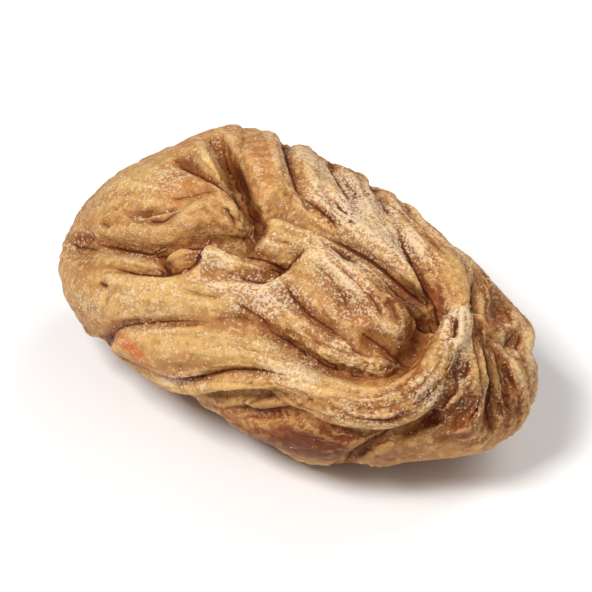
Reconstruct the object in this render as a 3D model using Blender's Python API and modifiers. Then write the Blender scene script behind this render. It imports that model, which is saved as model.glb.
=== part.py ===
"""A dried fig: one whole fruit, lying on its flatter side, as one closed solid.

The fruit is a flattened egg. Its outline, folds and neck are drawn as they are seen from the fruit's good
side, in the pixels of a 592 pixel square view, and laid on the egg from there. The hidden side is finished
by rule, with long pleats and wrinkles that run from the eye to the neck.
Units are metres, +Z is up, and the origin is on the table under the middle of the fruit's box.
"""

import math
from collections import namedtuple

import bmesh
import bpy
import numpy as np
from mathutils import Vector, noise
from mathutils.bvhtree import BVHTree

MM = 0.001

# Driving sizes
SEEN_WIDTH = 49.8 * MM  # from the outline's left end to its right end, in the drawn view
HALF_DEPTH = 15.5 * MM  # from the middle to the surface, along the line of sight
FOOT_BELOW_MIDDLE = 12.0 * MM  # where the table flattens the underside
VIEW_AZIMUTH = math.radians(21.0)
VIEW_ELEVATION = math.radians(42.0)
RIM_LEAN = (0.16, -0.39)  # how far the outline's plane leans toward the viewer, per metre right and up

# Mesh
SPHERE_CUTS = 7
VOXEL = 0.5 * MM
TRIANGLES = 9600

# Places in the drawn view, in pixels
VIEW_CENTRE = (318.0, 130.0)
EYE = (291.0, 84.0)
NECK_TIP = (424.0, 150.0)
OUTLINE = (
    (473.5, 172), (469, 152), (456, 130), (434, 106), (402, 80), (366, 57), (334, 40), (303, 26),
    (268, 21), (236, 31), (204, 49), (178, 74), (162, 100), (168, 130), (190, 158), (226, 188),
    (268, 210), (312, 230), (356, 239), (400, 235), (438, 228), (462, 210), (472, 192),
)
PIXEL = SEEN_WIDTH / (OUTLINE[0][0] - OUTLINE[12][0])

# A crease runs along its path. The skin on its `over` side, seen along the path, laps over the other.
# Depth and width are in millimetres, and ends are the shares of the depth left at the path's two ends.
Crease = namedtuple("Crease", "name over depth width ends path")
CREASES = (
    Crease("eye wedge", "left", 4.5, 0.8, (0.05, 1.0),
           ((267, 23), (271, 32), (275, 42), (280, 55), (286, 68), (295, 80))),
    Crease("under nose", "left", 4.2, 0.9, (1.0, 0.6), ((294, 79), (290, 91), (280, 98), (264, 93))),
    Crease("crown fold", "right", 1.6, 0.6, (0.1, 0.8),
           ((238, 41), (248, 47), (258, 52), (269, 56), (284, 63))),
    Crease("brow line", "", 1.0, 0.5, (0.2, 0.2), ((207, 77), (223, 78), (237, 75), (247, 70), (256, 65))),
    Crease("nose line", "", 0.5, 0.5, (0.3, 0.5), ((268, 78), (274, 85), (276, 92))),
    Crease("cheek cleft", "left", 2.8, 0.8, (0.15, 0.9),
           ((178, 94), (194, 93), (212, 95), (230, 99), (248, 97), (262, 92))),
    Crease("left pit", "", 1.6, 1.0, (0.3, 0.2), ((166, 93), (177, 94), (188, 98))),
    Crease("shelf lip", "right", 2.2, 0.7, (0.1, 0.9),
           ((190, 108), (204, 112), (220, 114), (238, 114), (252, 110), (258, 97))),
    Crease("knob side", "left", 2.0, 0.6, (0.7, 0.8), ((231, 100), (229, 106), (234, 113))),
    Crease("tongue top", "left", 2.2, 0.6, (0.3, 1.0), ((278, 99), (295, 103), (311, 106))),
    Crease("tongue pocket", "right", 3.4, 0.9, (0.6, 0.2), ((284, 115), (295, 115), (306, 109), (326, 99))),
    Crease("tongue foot", "", 0.9, 0.7, (0.3, 0.8), ((258, 112), (270, 115), (284, 115))),
    Crease("long cleft", "right", 4.4, 1.0, (0.5, 1.2),
           ((295, 79), (308, 75), (322, 80), (344, 94), (368, 110), (388, 127), (412, 143))),
    Crease("middle line", "left", 1.7, 0.8, (0.15, 0.3),
           ((307, 116), (315, 128), (324, 138), (338, 149), (352, 157))),
    Crease("pocket brow", "", 1.5, 0.8, (0.1, 1.0), ((356, 150), (368, 157), (380, 165), (388, 171))),
    Crease("lower cleft", "left", 2.8, 0.9, (0.1, 1.0),
           ((288, 144), (306, 156), (320, 166), (334, 174), (351, 180), (367, 185), (382, 180))),
    Crease("soft valley", "", 0.5, 1.4, (0.1, 0.6), ((262, 140), (282, 145), (292, 147))),
    Crease("bulge line", "", 0.5, 0.9, (0.3, 0.1), ((238, 122), (266, 130), (306, 142))),
    Crease("corner line", "right", 1.7, 0.6, (0.1, 0.1),
           ((188, 167), (194, 161), (203, 152), (222, 148), (250, 146), (276, 148))),
    Crease("corner back", "", 1.0, 0.8, (0.5, 0.8), ((193, 162), (205, 172), (225, 182))),
    Crease("hem line", "left", 1.8, 0.6, (0.8, 0.1),
           ((226, 182), (240, 186), (258, 183), (276, 179), (300, 179), (324, 182))),
    Crease("under hem", "left", 2.6, 0.9, (0.1, 0.8),
           ((222, 191), (230, 193), (244, 198), (260, 199), (274, 195), (300, 195), (318, 196))),
    Crease("neck under", "left", 3.4, 0.9, (0.2, 0.4),
           ((304, 188), (321, 199), (342, 210), (368, 217), (391, 216), (410, 209), (420, 198))),
    Crease("belly line", "left", 1.6, 0.8, (0.3, 0.8), ((272, 206), (292, 210), (310, 207), (325, 201))),
    Crease("chin line", "right", 1.8, 0.8, (0.1, 0.8), ((350, 242), (356, 236), (369, 227), (382, 219))),
    Crease("skirt shadow", "", 0.8, 0.8, (0.8, 0.2), ((388, 222), (404, 220), (416, 221), (430, 216))),
    Crease("skirt line 1", "", 2.2, 0.7, (0.4, 0.1), ((431, 152), (439, 168), (444, 188), (445, 222))),
    Crease("skirt line 2", "", 1.8, 0.7, (0.3, 0.1), ((438, 156), (446, 168), (453, 188), (459, 208))),
    Crease("skirt edge", "right", 2.2, 0.7, (1.0, 0.1),
           ((434, 140), (443, 151), (453, 160), (462, 173), (468, 188))),
    Crease("far notch", "", 1.8, 0.7, (0.4, 1.0), ((465, 150), (460, 157), (453, 163))),
    Crease("shade line", "right", 2.4, 0.8, (0.3, 1.0), ((435, 113), (436, 133), (441, 151))),
    Crease("lit edge", "left", 2.6, 0.7, (0.3, 1.0), ((384, 80), (394, 97), (401, 113), (415, 139))),
    Crease("crown line", "", 1.9, 0.6, (0.1, 0.7), ((309, 21), (312, 30), (316, 44), (320, 60))),
    Crease("crown tail", "", 1.0, 0.6, (0.7, 0.3), ((320, 60), (329, 71), (342, 84), (346, 92))),
    Crease("arch 1", "", 0.7, 0.6, (0.1, 0.3), ((334, 54), (347, 71), (358, 83))),
    Crease("arch 2", "left", 1.4, 0.6, (0.1, 0.2), ((337, 36), (344, 46), (354, 59), (361, 72))),
    Crease("arch 3", "", 1.0, 0.6, (0.1, 0.4), ((363, 49), (369, 58), (376, 72), (382, 86))),
    Crease("rim line 1", "", 0.8, 0.6, (0.1, 0.2), ((378, 59), (388, 69), (402, 84), (422, 102))),
    Crease("rim line 2", "", 1.1, 0.7, (0.4, 0.4), ((402, 78), (424, 98), (446, 121), (455, 136))),
    Crease("crown crease", "", 0.5, 0.5, (0.3, 0.3), ((292, 30), (297, 46), (302, 64))),
    Crease("roll line 1", "", 0.6, 0.5, (0.2, 0.2), ((324, 68), (340, 82), (356, 98), (374, 115))),
    Crease("roll line 2", "", 0.5, 0.4, (0.2, 0.3), ((349, 78), (362, 93), (380, 110), (396, 128))),
    Crease("fold line 1", "", 0.5, 0.4, (0.2, 0.3), ((326, 96), (346, 107), (364, 121), (380, 142))),
    Crease("fold line 2", "", 0.5, 0.4, (0.2, 0.3), ((322, 112), (340, 122), (356, 136), (372, 154))),
    Crease("fold line 3", "", 0.4, 0.4, (0.2, 0.2), ((340, 98), (360, 110), (376, 124), (390, 142))),
    Crease("under line 1", "", 0.5, 0.4, (0.2, 0.2), ((310, 140), (326, 151), (344, 163), (364, 173))),
    Crease("front line 1", "", 0.4, 0.9, (0.2, 0.2), ((176, 122), (200, 128), (228, 130), (250, 134))),
    Crease("front line 2", "", 0.3, 0.8, (0.2, 0.2), ((190, 140), (212, 138), (240, 138), (262, 143))),
    Crease("lobe line 1", "", 0.4, 0.6, (0.2, 0.2), ((222, 158), (250, 157), (284, 162), (316, 172))),
    Crease("lobe line 2", "", 0.5, 0.5, (0.2, 0.2), ((236, 174), (262, 172), (292, 171), (318, 176))),
    Crease("hem crease", "", 0.7, 0.5, (0.2, 0.2), ((250, 192), (276, 187), (302, 187), (322, 192))),
)
NECK_CREASES = (
    Crease("neck pleat", "left", 1.0, 0.5, (0.4, 0.8),
           ((428, 156), (425, 174), (417, 193), (404, 209), (390, 217))),
    Crease("skirt ripple", "", 0.8, 0.5, (0.2, 0.5), ((431, 170), (430, 188), (424, 204), (410, 220))),
    Crease("neck rib 1", "", 0.5, 0.4, (0.4, 0.2),
           ((419, 146), (416, 164), (408, 182), (392, 197), (366, 205))),
    Crease("neck rib 2", "", 0.4, 0.4, (0.4, 0.2),
           ((412, 152), (409, 168), (400, 184), (384, 192), (360, 194))),
    Crease("neck rib 3", "", 0.5, 0.4, (0.4, 0.2),
           ((424, 158), (420, 176), (410, 194), (392, 206), (366, 212))),
    Crease("tip line 1", "", 0.6, 0.5, (1.0, 0.3), ((419, 138), (416, 150), (412, 162))),
    Crease("tip line 2", "", 0.6, 0.5, (1.0, 0.3), ((427, 140), (429, 152), (430, 166))),
)

# A roll is a raised fold. Its heights in millimetres and half widths in pixels run from the path's start to
# its end.
Roll = namedtuple("Roll", "name heights halves path")
ROLLS = (
    Roll("neck bed", (0.4, 1.4, 1.4), (12, 17, 17), ((310, 180), (345, 190), (374, 196), (404, 184))),
    Roll("skirt", (2.6, 2.6, 1.4), (13, 18, 20), ((426, 152), (428, 178), (422, 210))),
    Roll("skirt fold 1", (0.8, 1.6, 0.5), (7, 10, 11), ((435, 148), (446, 172), (450, 204))),
    Roll("skirt fold 2", (0.6, 1.2, 0.3), (6, 8, 9), ((440, 146), (455, 168), (462, 192))),
    Roll("central fold", (0.8, 1.8, 1.6, 0.6), (14, 20, 18, 12),
         ((300, 90), (335, 102), (364, 123), (386, 150))),
    Roll("under fold", (0.3, 1.1, 1.2), (8, 10, 9), ((316, 142), (344, 164), (378, 174))),
    Roll("far fold", (0.4, 1.0, 0.8), (9, 12, 10), ((338, 74), (372, 98), (404, 130))),
    Roll("nose", (0.3, 0.8, 1.2, 2.0, 3.0), (10, 11, 12, 13, 13),
         ((190, 84), (216, 87), (240, 86), (262, 80), (279, 81))),
)

# A swell is a soft hill or hollow. Its half sizes are in pixels, its turn in degrees and its height in
# millimetres.
Swell = namedtuple("Swell", "name centre half_sizes turn height")
SWELLS = (
    Swell("pocket", (397, 156), (8, 17), -25, -4.0),
    Swell("knob", (246, 104), (12, 8), 0, 2.1),
    Swell("shelf", (208, 104), (26, 7), -4, -0.8),
    Swell("step", (267, 102), (11, 7), -20, 1.3),
    Swell("far hollow", (450, 138), (9, 20), -25, -1.6),
    Swell("under hollow", (298, 204), (30, 7), 0, -1.0),
    Swell("corner bulge", (245, 164), (45, 13), 0, 1.1),
    Swell("front bulge", (230, 130), (50, 15), 0, 1.3),
    Swell("crown lobe", (303, 48), (14, 24), 5, 1.5),
    Swell("left lobe", (262, 41), (15, 15), 30, 1.5),
    Swell("brow lobe", (215, 62), (35, 16), 30, 1.1),
    Swell("hem roll", (285, 188), (45, 6), -3, 1.1),
    Swell("lit fold", (412, 105), (30, 9), -42, 0.9),
)

# The neck's middle line: the pixel, then the radius and the lift above the fruit in millimetres
NECK = (
    ((302, 184), 0.9, -2.4), ((322, 190), 1.9, -2.0), ((341, 195), 2.6, -1.8), ((360, 200), 2.7, -1.0),
    ((378, 200), 2.6, -0.3), ((393, 193), 2.5, 0.4), ((405, 182), 2.4, 0.8), ((413, 170), 2.3, 1.2),
    ((418, 158), 2.1, 1.6), ((421, 148), 1.7, 2.0), ((422, 141), 1.2, 2.2),
)
NECK_FREE_END = ((422, 138), 0.9, 2.3)

# Relief of the skin, in metres
LAP_SHARE = 0.03  # of a crease's depth, by which one side laps over the other
LIP_SHARE = 0.12
GROOVE_ROUND = 0.5  # of a crease's width
LUMP_HEIGHT = 1.3 * MM
LUMP_SIZE = 12 * MM
PLEATS = 20
PLEAT_DEPTH = 1.6 * MM
PLEAT_SHARPNESS = 0.2
WRINKLE_WIDTH = 3.2 * MM
WRINKLE_LENGTH = 12 * MM
WRINKLE_HEIGHT = 0.25 * MM
FOOT_FADE = 3 * MM  # height above the table within which the relief comes in


def smooth_path(path, per_span=5):
    """Points on a smooth line through the path's own points."""
    points = np.array(path, float)
    points = np.vstack([2 * points[0] - points[1], points, 2 * points[-1] - points[-2]])
    t = (np.arange(per_span) / per_span)[:, None]
    spans = []
    for a, b, c, d in zip(points, points[1:], points[2:], points[3:]):
        bend = (2 * a - 5 * b + 4 * c - d) * t**2 + (3 * b - a - 3 * c + d) * t**3
        spans.append(b + 0.5 * ((c - a) * t + bend))
    return np.vstack([*spans, points[-2]])


def view_axes():
    """Right, up and toward the viewer, for the side that the fruit is drawn from."""
    sa, ca = math.sin(VIEW_AZIMUTH), math.cos(VIEW_AZIMUTH)
    se, ce = math.sin(VIEW_ELEVATION), math.cos(VIEW_ELEVATION)
    return np.array([[ca, sa, 0], [-sa * se, ca * se, ce], [sa * ce, -ca * ce, se]])


RIGHT, UP, TOWARD = view_axes()


def in_view(pixels):
    """Distances right and up of the view's centre."""
    pixels = np.asarray(pixels, float)
    return (pixels[..., 0] - VIEW_CENTRE[0]) * PIXEL, (VIEW_CENTRE[1] - pixels[..., 1]) * PIXEL


def outline_table():
    """The outline as angles about the view's centre, with their radii."""
    right, up = in_view(smooth_path(OUTLINE + OUTLINE[:1], 12))
    angle = np.arctan2(up, right)
    order = np.argsort(angle)
    return angle[order], np.hypot(right, up)[order]


ANGLES, RADII = outline_table()


def outline_radius(angle):
    return np.interp(angle, ANGLES, RADII, period=2 * math.pi)


def body_point(unit):
    """The place on the plain egg of each point of the unit sphere, whose third axis is toward the viewer."""
    angle = np.arctan2(unit[:, 1], unit[:, 0])
    radius = outline_radius(angle) * np.hypot(unit[:, 0], unit[:, 1])
    right, up = radius * np.cos(angle), radius * np.sin(angle)
    toward = RIM_LEAN[0] * right + RIM_LEAN[1] * up + HALF_DEPTH * unit[:, 2]
    return np.stack([right, up, toward], axis=1) @ np.stack([RIGHT, UP, TOWARD])


def unit_of(points):
    """The unit sphere's point that a place on or near the egg belongs to."""
    right, up, toward = (points @ axis for axis in (RIGHT, UP, TOWARD))
    angle = np.arctan2(up, right)
    share = np.hypot(right, up) / outline_radius(angle)
    depth = (toward - RIM_LEAN[0] * right - RIM_LEAN[1] * up) / HALF_DEPTH
    return normalized(np.stack([share * np.cos(angle), share * np.sin(angle), depth], axis=1))


def unit_of_pixels(pixels):
    """The unit sphere's points that show at these pixels. Past the outline, they lie as far round the back."""
    right, up = in_view(pixels)
    angle = np.arctan2(up, right)
    share = np.hypot(right, up) / outline_radius(angle)
    depth = np.sqrt(1 - (1 - np.abs(1 - share)) ** 2) * np.sign(1 - share)
    share = 1 - np.abs(1 - share)
    return np.stack([share * np.cos(angle), share * np.sin(angle), depth], axis=-1)


def normalized(vectors):
    return vectors / np.maximum(np.linalg.norm(vectors, axis=1), 1e-12)[:, None]


def smooth_step(share):
    share = np.clip(share, 0, 1)
    return share * share * (3 - 2 * share)


def noise_at(points):
    return np.array([noise.noise(Vector(p)) for p in points])


def nearest_on(path, points, normals, reach):
    """The indices of the points within reach of the path, with distance, share along, side and offset."""
    near = np.flatnonzero(((points > path.min(0) - reach) & (points < path.max(0) + reach)).all(1))
    p, n = points[near], normals[near]
    distance, along, side = np.full(len(near), np.inf), np.zeros(len(near)), np.zeros(len(near))
    offset = np.zeros((len(near), 3))
    steps = np.linalg.norm(np.diff(path, axis=0), axis=1)
    start = np.concatenate([[0], np.cumsum(steps)])
    for i, (a, step) in enumerate(zip(path, np.diff(path, axis=0))):
        t = np.clip((p - a) @ step / (step @ step), 0, 1)
        off = p - a - t[:, None] * step
        far = np.linalg.norm(off, axis=1)
        closer = far < distance
        distance[closer] = far[closer]
        offset[closer] = off[closer]
        along[closer] = (start[i] + t[closer] * steps[i]) / start[-1]
        side[closer] = np.sign(np.einsum("ij,ij->i", off, np.cross(step, n)))[closer]
    keep = distance < reach
    return near[keep], distance[keep], along[keep], side[keep], offset[keep]


def crease_moves(points, normals, creases, path_of):
    """How far the creases raise each point, and how they shift it sideways where a fold laps over."""
    raised, deep, shift = np.zeros(len(points)), np.zeros(len(points)), np.zeros_like(points)
    for crease in creases:
        width, depth = crease.width * MM, crease.depth * MM
        path = path_of(smooth_path(crease.path, 8))
        index, distance, along, side, offset = nearest_on(path, points, normals, 5 * width)
        fade = 1 - distance / (5 * width)
        first, last = crease.ends
        share = np.minimum(
            first + (1 - first) * smooth_step(along / 0.3),
            last + (1 - last) * smooth_step((1 - along) / 0.3),
        )
        soft = GROOVE_ROUND * width
        near = np.hypot(distance, soft) - soft
        groove = 0.75 * np.exp(-near / width) + 0.25 * np.exp(-((near / (2.4 * width)) ** 2))
        if crease.over:
            over = side == {"right": 1, "left": -1}[crease.over]
            steep = 0.45 * width
            edge = 0.9 * np.exp(-near / steep) + 0.1 * np.exp(-((near / (2 * width)) ** 2))
            groove = np.where(over, edge, groove)
            lip = (1 - np.exp(-near / steep)) * np.exp(-near / (2 * width)) * fade * over
            raised[index] += LIP_SHARE * depth * share * lip
            lap = LAP_SHARE * depth * share * (distance / width) * np.exp(1 - distance / width) * fade * over
            shift[index] -= lap[:, None] * normalized(offset)
        deep[index] = (deep[index] ** 4 + (depth * share * groove * fade) ** 4) ** 0.25
    return raised - deep, shift


def roll_heights(points, normals):
    height = np.zeros(len(points))
    for roll in ROLLS:
        path = body_point(unit_of_pixels(smooth_path(roll.path)))
        index, distance, along, _, _ = nearest_on(path, points, normals, max(roll.halves) * PIXEL)
        stops = np.linspace(0, 1, len(roll.heights))
        half = np.interp(along, stops, roll.halves) * PIXEL
        tall = np.interp(along, stops, roll.heights) * MM
        height[index] += tall * np.clip(1 - (distance / half) ** 2, 0, 1) ** 0.6
    return height


def swell_heights(points, unit):
    height = np.zeros(len(points))
    for swell in SWELLS:
        turn = math.radians(swell.turn)
        centre = in_view(swell.centre)
        right, up = points @ RIGHT - centre[0], points @ UP - centre[1]
        a = (right * math.cos(turn) + up * math.sin(turn)) / (swell.half_sizes[0] * PIXEL)
        b = (up * math.cos(turn) - right * math.sin(turn)) / (swell.half_sizes[1] * PIXEL)
        height += swell.height * MM * np.exp(-(a**2) - b**2)
    return height * smooth_step(0.5 + unit[:, 2] / 0.5)


def hidden_share(unit):
    """1 on the side that the drawn view doesn't show, 0 on the side that it does."""
    return smooth_step(0.5 - (unit[:, 2] + 0.02) / 0.45)


def foot_share(points):
    """0 where the table flattens the underside, 1 above it."""
    return smooth_step((points[:, 2] + FOOT_BELOW_MIDDLE) / FOOT_FADE)


def poles():
    return unit_of_pixels(np.array([EYE, NECK_TIP]))


def pleat_heights(unit):
    """Long pleats that run round the hidden side from the eye to the neck."""
    eye, neck = poles()
    axis = (neck - eye) / np.linalg.norm(neck - eye)
    out = np.array([0.0, 0.0, 1.0]) - axis[2] * axis
    out /= np.linalg.norm(out)
    spoke = unit - eye
    turn = np.arctan2(spoke @ np.cross(axis, out), spoke @ out)
    wander, strength = noise_at(unit * 1.3), noise_at(unit * 2.1 + 7)
    phase = PLEATS * turn / 2 + 2.6 * wander + 1.1 * strength
    valley = np.exp(-np.abs(np.sin(phase)) / PLEAT_SHARPNESS)
    return PLEAT_DEPTH * (0.25 * (1 - valley) - valley * np.clip(0.65 + 0.9 * strength, 0.1, 1.1))


def grain_lines(points, unit):
    """The direction of the skin's grain at each point: along the nearest creases, else from eye to neck."""
    eye, neck = poles()
    away, back = unit - eye, unit - neck
    run = away / np.sum(away**2, axis=1)[:, None] - back / np.sum(back**2, axis=1)[:, None]
    step = normalized(run - np.sum(run * unit, axis=1)[:, None] * unit)
    general = normalized(body_point(normalized(unit + 0.01 * step)) - body_point(unit))
    middles, tangents = [], []
    for crease in CREASES + NECK_CREASES:
        path = body_point(unit_of_pixels(smooth_path(crease.path, 3)))
        middles.append((path[1:] + path[:-1]) / 2)
        tangents.append(normalized(np.diff(path, axis=0)))
    middles, tangents = np.vstack(middles), np.vstack(tangents)
    spread = np.einsum("ij,ik->ijk", tangents, tangents).reshape(-1, 9)
    total = 0.15 * np.einsum("ij,ik->ijk", general, general).reshape(-1, 9)
    for block in np.array_split(np.arange(len(points)), 1 + len(points) // 20000):
        gap = np.sum(points[block] ** 2, 1)[:, None] - 2 * points[block] @ middles.T + np.sum(middles**2, 1)
        total[block] += np.exp(-gap / (2 * (3 * MM) ** 2)) @ spread
    _, vectors = np.linalg.eigh(total.reshape(-1, 3, 3))
    return vectors[:, :, 2]


def streaks(points, lines, width, length, seed):
    """Noise drawn out along the grain: about `width` across and `length` along it."""
    total = np.zeros(len(points))
    taps = np.linspace(-0.5, 0.5, 9)
    for tap in taps:
        total += noise_at((points + tap * length * lines) / width + seed)
    return total / math.sqrt(len(taps))


def mesh_arrays(mesh):
    """The vertices' places and normals."""
    places, normals = np.empty(len(mesh.vertices) * 3), np.empty(len(mesh.vertices) * 3)
    mesh.vertices.foreach_get("co", places)
    mesh.vertices.foreach_get("normal", normals)
    return places.reshape(-1, 3), normals.reshape(-1, 3)


def set_places(mesh, places):
    mesh.vertices.foreach_set("co", places.ravel())
    mesh.update()


def mesh_of(obj):
    """The object's evaluated mesh, in place of the object."""
    bpy.context.view_layer.update()
    graph = bpy.context.evaluated_depsgraph_get()
    mesh = bpy.data.meshes.new_from_object(obj.evaluated_get(graph))
    bpy.data.objects.remove(obj)
    return mesh


def egg(cuts):
    """The egg with its lumps, pleats, rolls, swells and creases."""
    bpy.ops.mesh.primitive_ico_sphere_add(subdivisions=cuts, radius=1)
    obj = bpy.context.object
    unit = normalized(mesh_arrays(obj.data)[0])
    set_places(obj.data, body_point(unit))
    points, normals = mesh_arrays(obj.data)
    hidden = hidden_share(unit)
    height = (0.25 + 0.75 * hidden) * LUMP_HEIGHT * noise_at(points / LUMP_SIZE)
    height += hidden * foot_share(points) * pleat_heights(unit)
    height += roll_heights(points, normals) + swell_heights(points, unit)
    drop, shift = crease_moves(points, normals, CREASES, lambda path: body_point(unit_of_pixels(path)))
    set_places(obj.data, points + normals * (height + drop)[:, None] + shift)
    return obj


def neck():
    """The neck as a round bar that lies on the fruit and tapers to its free, cut end."""
    curve = bpy.data.curves.new("neck", "CURVE")
    curve.dimensions = "3D"
    curve.bevel_depth = 1.0
    curve.bevel_resolution = 6
    curve.use_fill_caps = True
    stations = []
    for pixel, radius, lift in (*NECK, NECK_FREE_END):
        on_skin = body_point(unit_of_pixels(np.array([pixel])))[0]
        stations.append([*(on_skin + lift * MM * TOWARD), radius * MM])
    stations = smooth_path(stations, 4)
    spline = curve.splines.new("POLY")
    spline.points.add(len(stations) - 1)
    for point, (x, y, z, radius) in zip(spline.points, stations):
        point.co = (x, y, z, 1)
        point.radius = radius
    obj = bpy.data.objects.new("neck", curve)
    bpy.context.scene.collection.objects.link(obj)
    mesh = mesh_of(obj)
    bm = bmesh.new()
    bm.from_mesh(mesh)
    bmesh.ops.remove_doubles(bm, verts=bm.verts, dist=1e-6)
    bmesh.ops.recalc_face_normals(bm, faces=bm.faces)
    bm.to_mesh(mesh)
    bm.free()
    return mesh


def drop_scraps(mesh):
    """Leaves only the largest connected piece of the mesh."""
    bm = bmesh.new()
    bm.from_mesh(mesh)
    left, pieces = set(bm.verts), []
    while left:
        piece, edge = set(), {left.pop()}
        while edge:
            piece |= edge
            edge = {e.other_vert(v) for v in edge for e in v.link_edges} - piece
        left -= piece
        pieces.append(piece)
    pieces.sort(key=len)
    for piece in pieces[:-1]:
        bmesh.ops.delete(bm, geom=list(piece), context="VERTS")
    bm.to_mesh(mesh)
    bm.free()


def joined(obj, mesh, voxel):
    """The object and the mesh as one evenly meshed body."""
    bm = bmesh.new()
    bm.from_mesh(obj.data)
    bm.from_mesh(mesh)
    bm.to_mesh(obj.data)
    bm.free()
    even = obj.modifiers.new("even", "REMESH")
    even.mode = "VOXEL"
    even.voxel_size = voxel
    mesh = mesh_of(obj)
    drop_scraps(mesh)
    return mesh


def seen_path(tree, pixels):
    """The places of a mesh that show at these pixels of the drawn view."""
    right, up = in_view(pixels)
    starts = right[:, None] * RIGHT + up[:, None] * UP + 2 * SEEN_WIDTH * TOWARD
    hits = [tree.ray_cast(Vector(start), Vector(-TOWARD))[0] for start in starts]
    return np.array([hit for hit in hits if hit is not None])


def crease_neck(mesh):
    points, normals = mesh_arrays(mesh)
    tree = BVHTree.FromPolygons(points.tolist(), [face.vertices[:] for face in mesh.polygons])
    drop, shift = crease_moves(points, normals, NECK_CREASES, lambda path: seen_path(tree, path))
    set_places(mesh, points + normals * drop[:, None] + shift)


def eased(mesh, rounds):
    """Draws each vertex halfway to the middle of its neighbours, that many times."""
    points = mesh_arrays(mesh)[0]
    ends = np.empty(2 * len(mesh.edges), np.int32)
    mesh.edges.foreach_get("vertices", ends)
    one, other = ends.reshape(-1, 2).T
    many = np.bincount(ends, minlength=len(points))[:, None]
    for _ in range(rounds):
        total = np.zeros_like(points)
        for axis in range(3):
            total[:, axis] = np.bincount(one, points[other, axis], len(points))
            total[:, axis] += np.bincount(other, points[one, axis], len(points))
        points = (points + total / many) / 2
    set_places(mesh, points)


def wrinkle(mesh):
    points, normals = mesh_arrays(mesh)
    unit = unit_of(points)
    grain = streaks(points, grain_lines(points, unit), WRINKLE_WIDTH, WRINKLE_LENGTH, 0)
    height = 0.8 * grain - np.exp(-np.abs(grain) / 0.12)
    share = (0.5 + 0.5 * hidden_share(unit)) * foot_share(points)
    set_places(mesh, points + normals * (WRINKLE_HEIGHT * share * height)[:, None])


def fig_mesh(cuts, voxel):
    """The whole fruit as a fine mesh, with its wrinkles, about the egg's middle."""
    mesh = joined(egg(cuts), neck(), voxel)
    crease_neck(mesh)
    eased(mesh, 5)
    wrinkle(mesh)
    return mesh


def thinned(mesh, triangles):
    """The mesh with its faces joined where it is flattest, down to that many triangles."""
    obj = bpy.data.objects.new("fine", mesh)
    bpy.context.scene.collection.objects.link(obj)
    obj.modifiers.new("triangles", "TRIANGULATE")
    fewer = obj.modifiers.new("fewer", "DECIMATE")
    fewer.ratio = triangles / (2 * len(mesh.polygons))
    return mesh_of(obj)


def cut_foot(mesh):
    """Cuts the underside flat, where the fruit rests, and stands the mesh on the table about its middle."""
    bm = bmesh.new()
    bm.from_mesh(mesh)
    everything = [*bm.verts, *bm.edges, *bm.faces]
    plane = Vector((0, 0, -FOOT_BELOW_MIDDLE))
    cut = bmesh.ops.bisect_plane(
        bm, geom=everything, dist=1e-6, plane_co=plane, plane_no=Vector((0, 0, 1)), clear_inner=True
    )
    rim = [item for item in cut["geom_cut"] if isinstance(item, bmesh.types.BMEdge)]
    bmesh.ops.edgeloop_fill(bm, edges=rim)
    low = [min(v.co[axis] for v in bm.verts) for axis in range(3)]
    high = [max(v.co[axis] for v in bm.verts) for axis in range(3)]
    bmesh.ops.translate(bm, verts=bm.verts, vec=(-(low[0] + high[0]) / 2, -(low[1] + high[1]) / 2, -low[2]))
    bmesh.ops.recalc_face_normals(bm, faces=bm.faces)
    bm.to_mesh(mesh)
    bm.free()
    return mesh


def skin():
    material = bpy.data.materials.new("fig skin")
    material.use_nodes = True
    shader = material.node_tree.nodes["Principled BSDF"]
    shader.inputs["Base Color"].default_value = (0.57, 0.33, 0.14, 1)
    shader.inputs["Roughness"].default_value = 0.55
    shader.inputs["Metallic"].default_value = 0.0
    material.diffuse_color = (0.57, 0.33, 0.14, 1)
    return material


def main():
    for obj in list(bpy.data.objects):
        bpy.data.objects.remove(obj)
    mesh = cut_foot(thinned(fig_mesh(SPHERE_CUTS, VOXEL), TRIANGLES))
    mesh.name = "dried fig"
    mesh.materials.append(skin())
    mesh.shade_smooth()
    fig = bpy.data.objects.new("dried_fig", mesh)
    collection = bpy.data.collections.new("Dried fig")
    bpy.context.scene.collection.children.link(collection)
    collection.objects.link(fig)


if __name__ == "__main__":
    main()
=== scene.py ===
"""A whole dried fig, laid on a pale table: its finish, its sugar, the table and the light."""

import math
from collections import namedtuple

import bmesh
import bpy
import numpy as np
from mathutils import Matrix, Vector, kdtree, noise
from mathutils.bvhtree import BVHTree


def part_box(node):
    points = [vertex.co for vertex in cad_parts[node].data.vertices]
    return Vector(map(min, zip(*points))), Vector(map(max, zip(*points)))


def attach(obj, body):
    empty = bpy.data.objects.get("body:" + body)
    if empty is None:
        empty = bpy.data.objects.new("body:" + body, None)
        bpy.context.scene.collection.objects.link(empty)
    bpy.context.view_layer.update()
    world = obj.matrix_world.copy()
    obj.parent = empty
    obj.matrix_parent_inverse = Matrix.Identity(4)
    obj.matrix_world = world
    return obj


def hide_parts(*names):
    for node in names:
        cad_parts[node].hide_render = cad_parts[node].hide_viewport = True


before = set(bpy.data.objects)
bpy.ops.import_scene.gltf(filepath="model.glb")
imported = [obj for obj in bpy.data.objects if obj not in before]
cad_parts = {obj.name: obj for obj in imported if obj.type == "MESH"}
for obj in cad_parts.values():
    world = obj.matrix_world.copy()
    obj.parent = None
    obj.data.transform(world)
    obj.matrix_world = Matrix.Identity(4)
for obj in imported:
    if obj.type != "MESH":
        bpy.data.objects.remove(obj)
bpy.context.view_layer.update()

# The fruit: a fig that dried whole, so that its soft skin fell into folds. The neck bent over and dried
# against the side, and the eye drew in to a cleft. It is one piece of leathery skin and flesh, and lies on a
# flat spot of its own.

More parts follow.
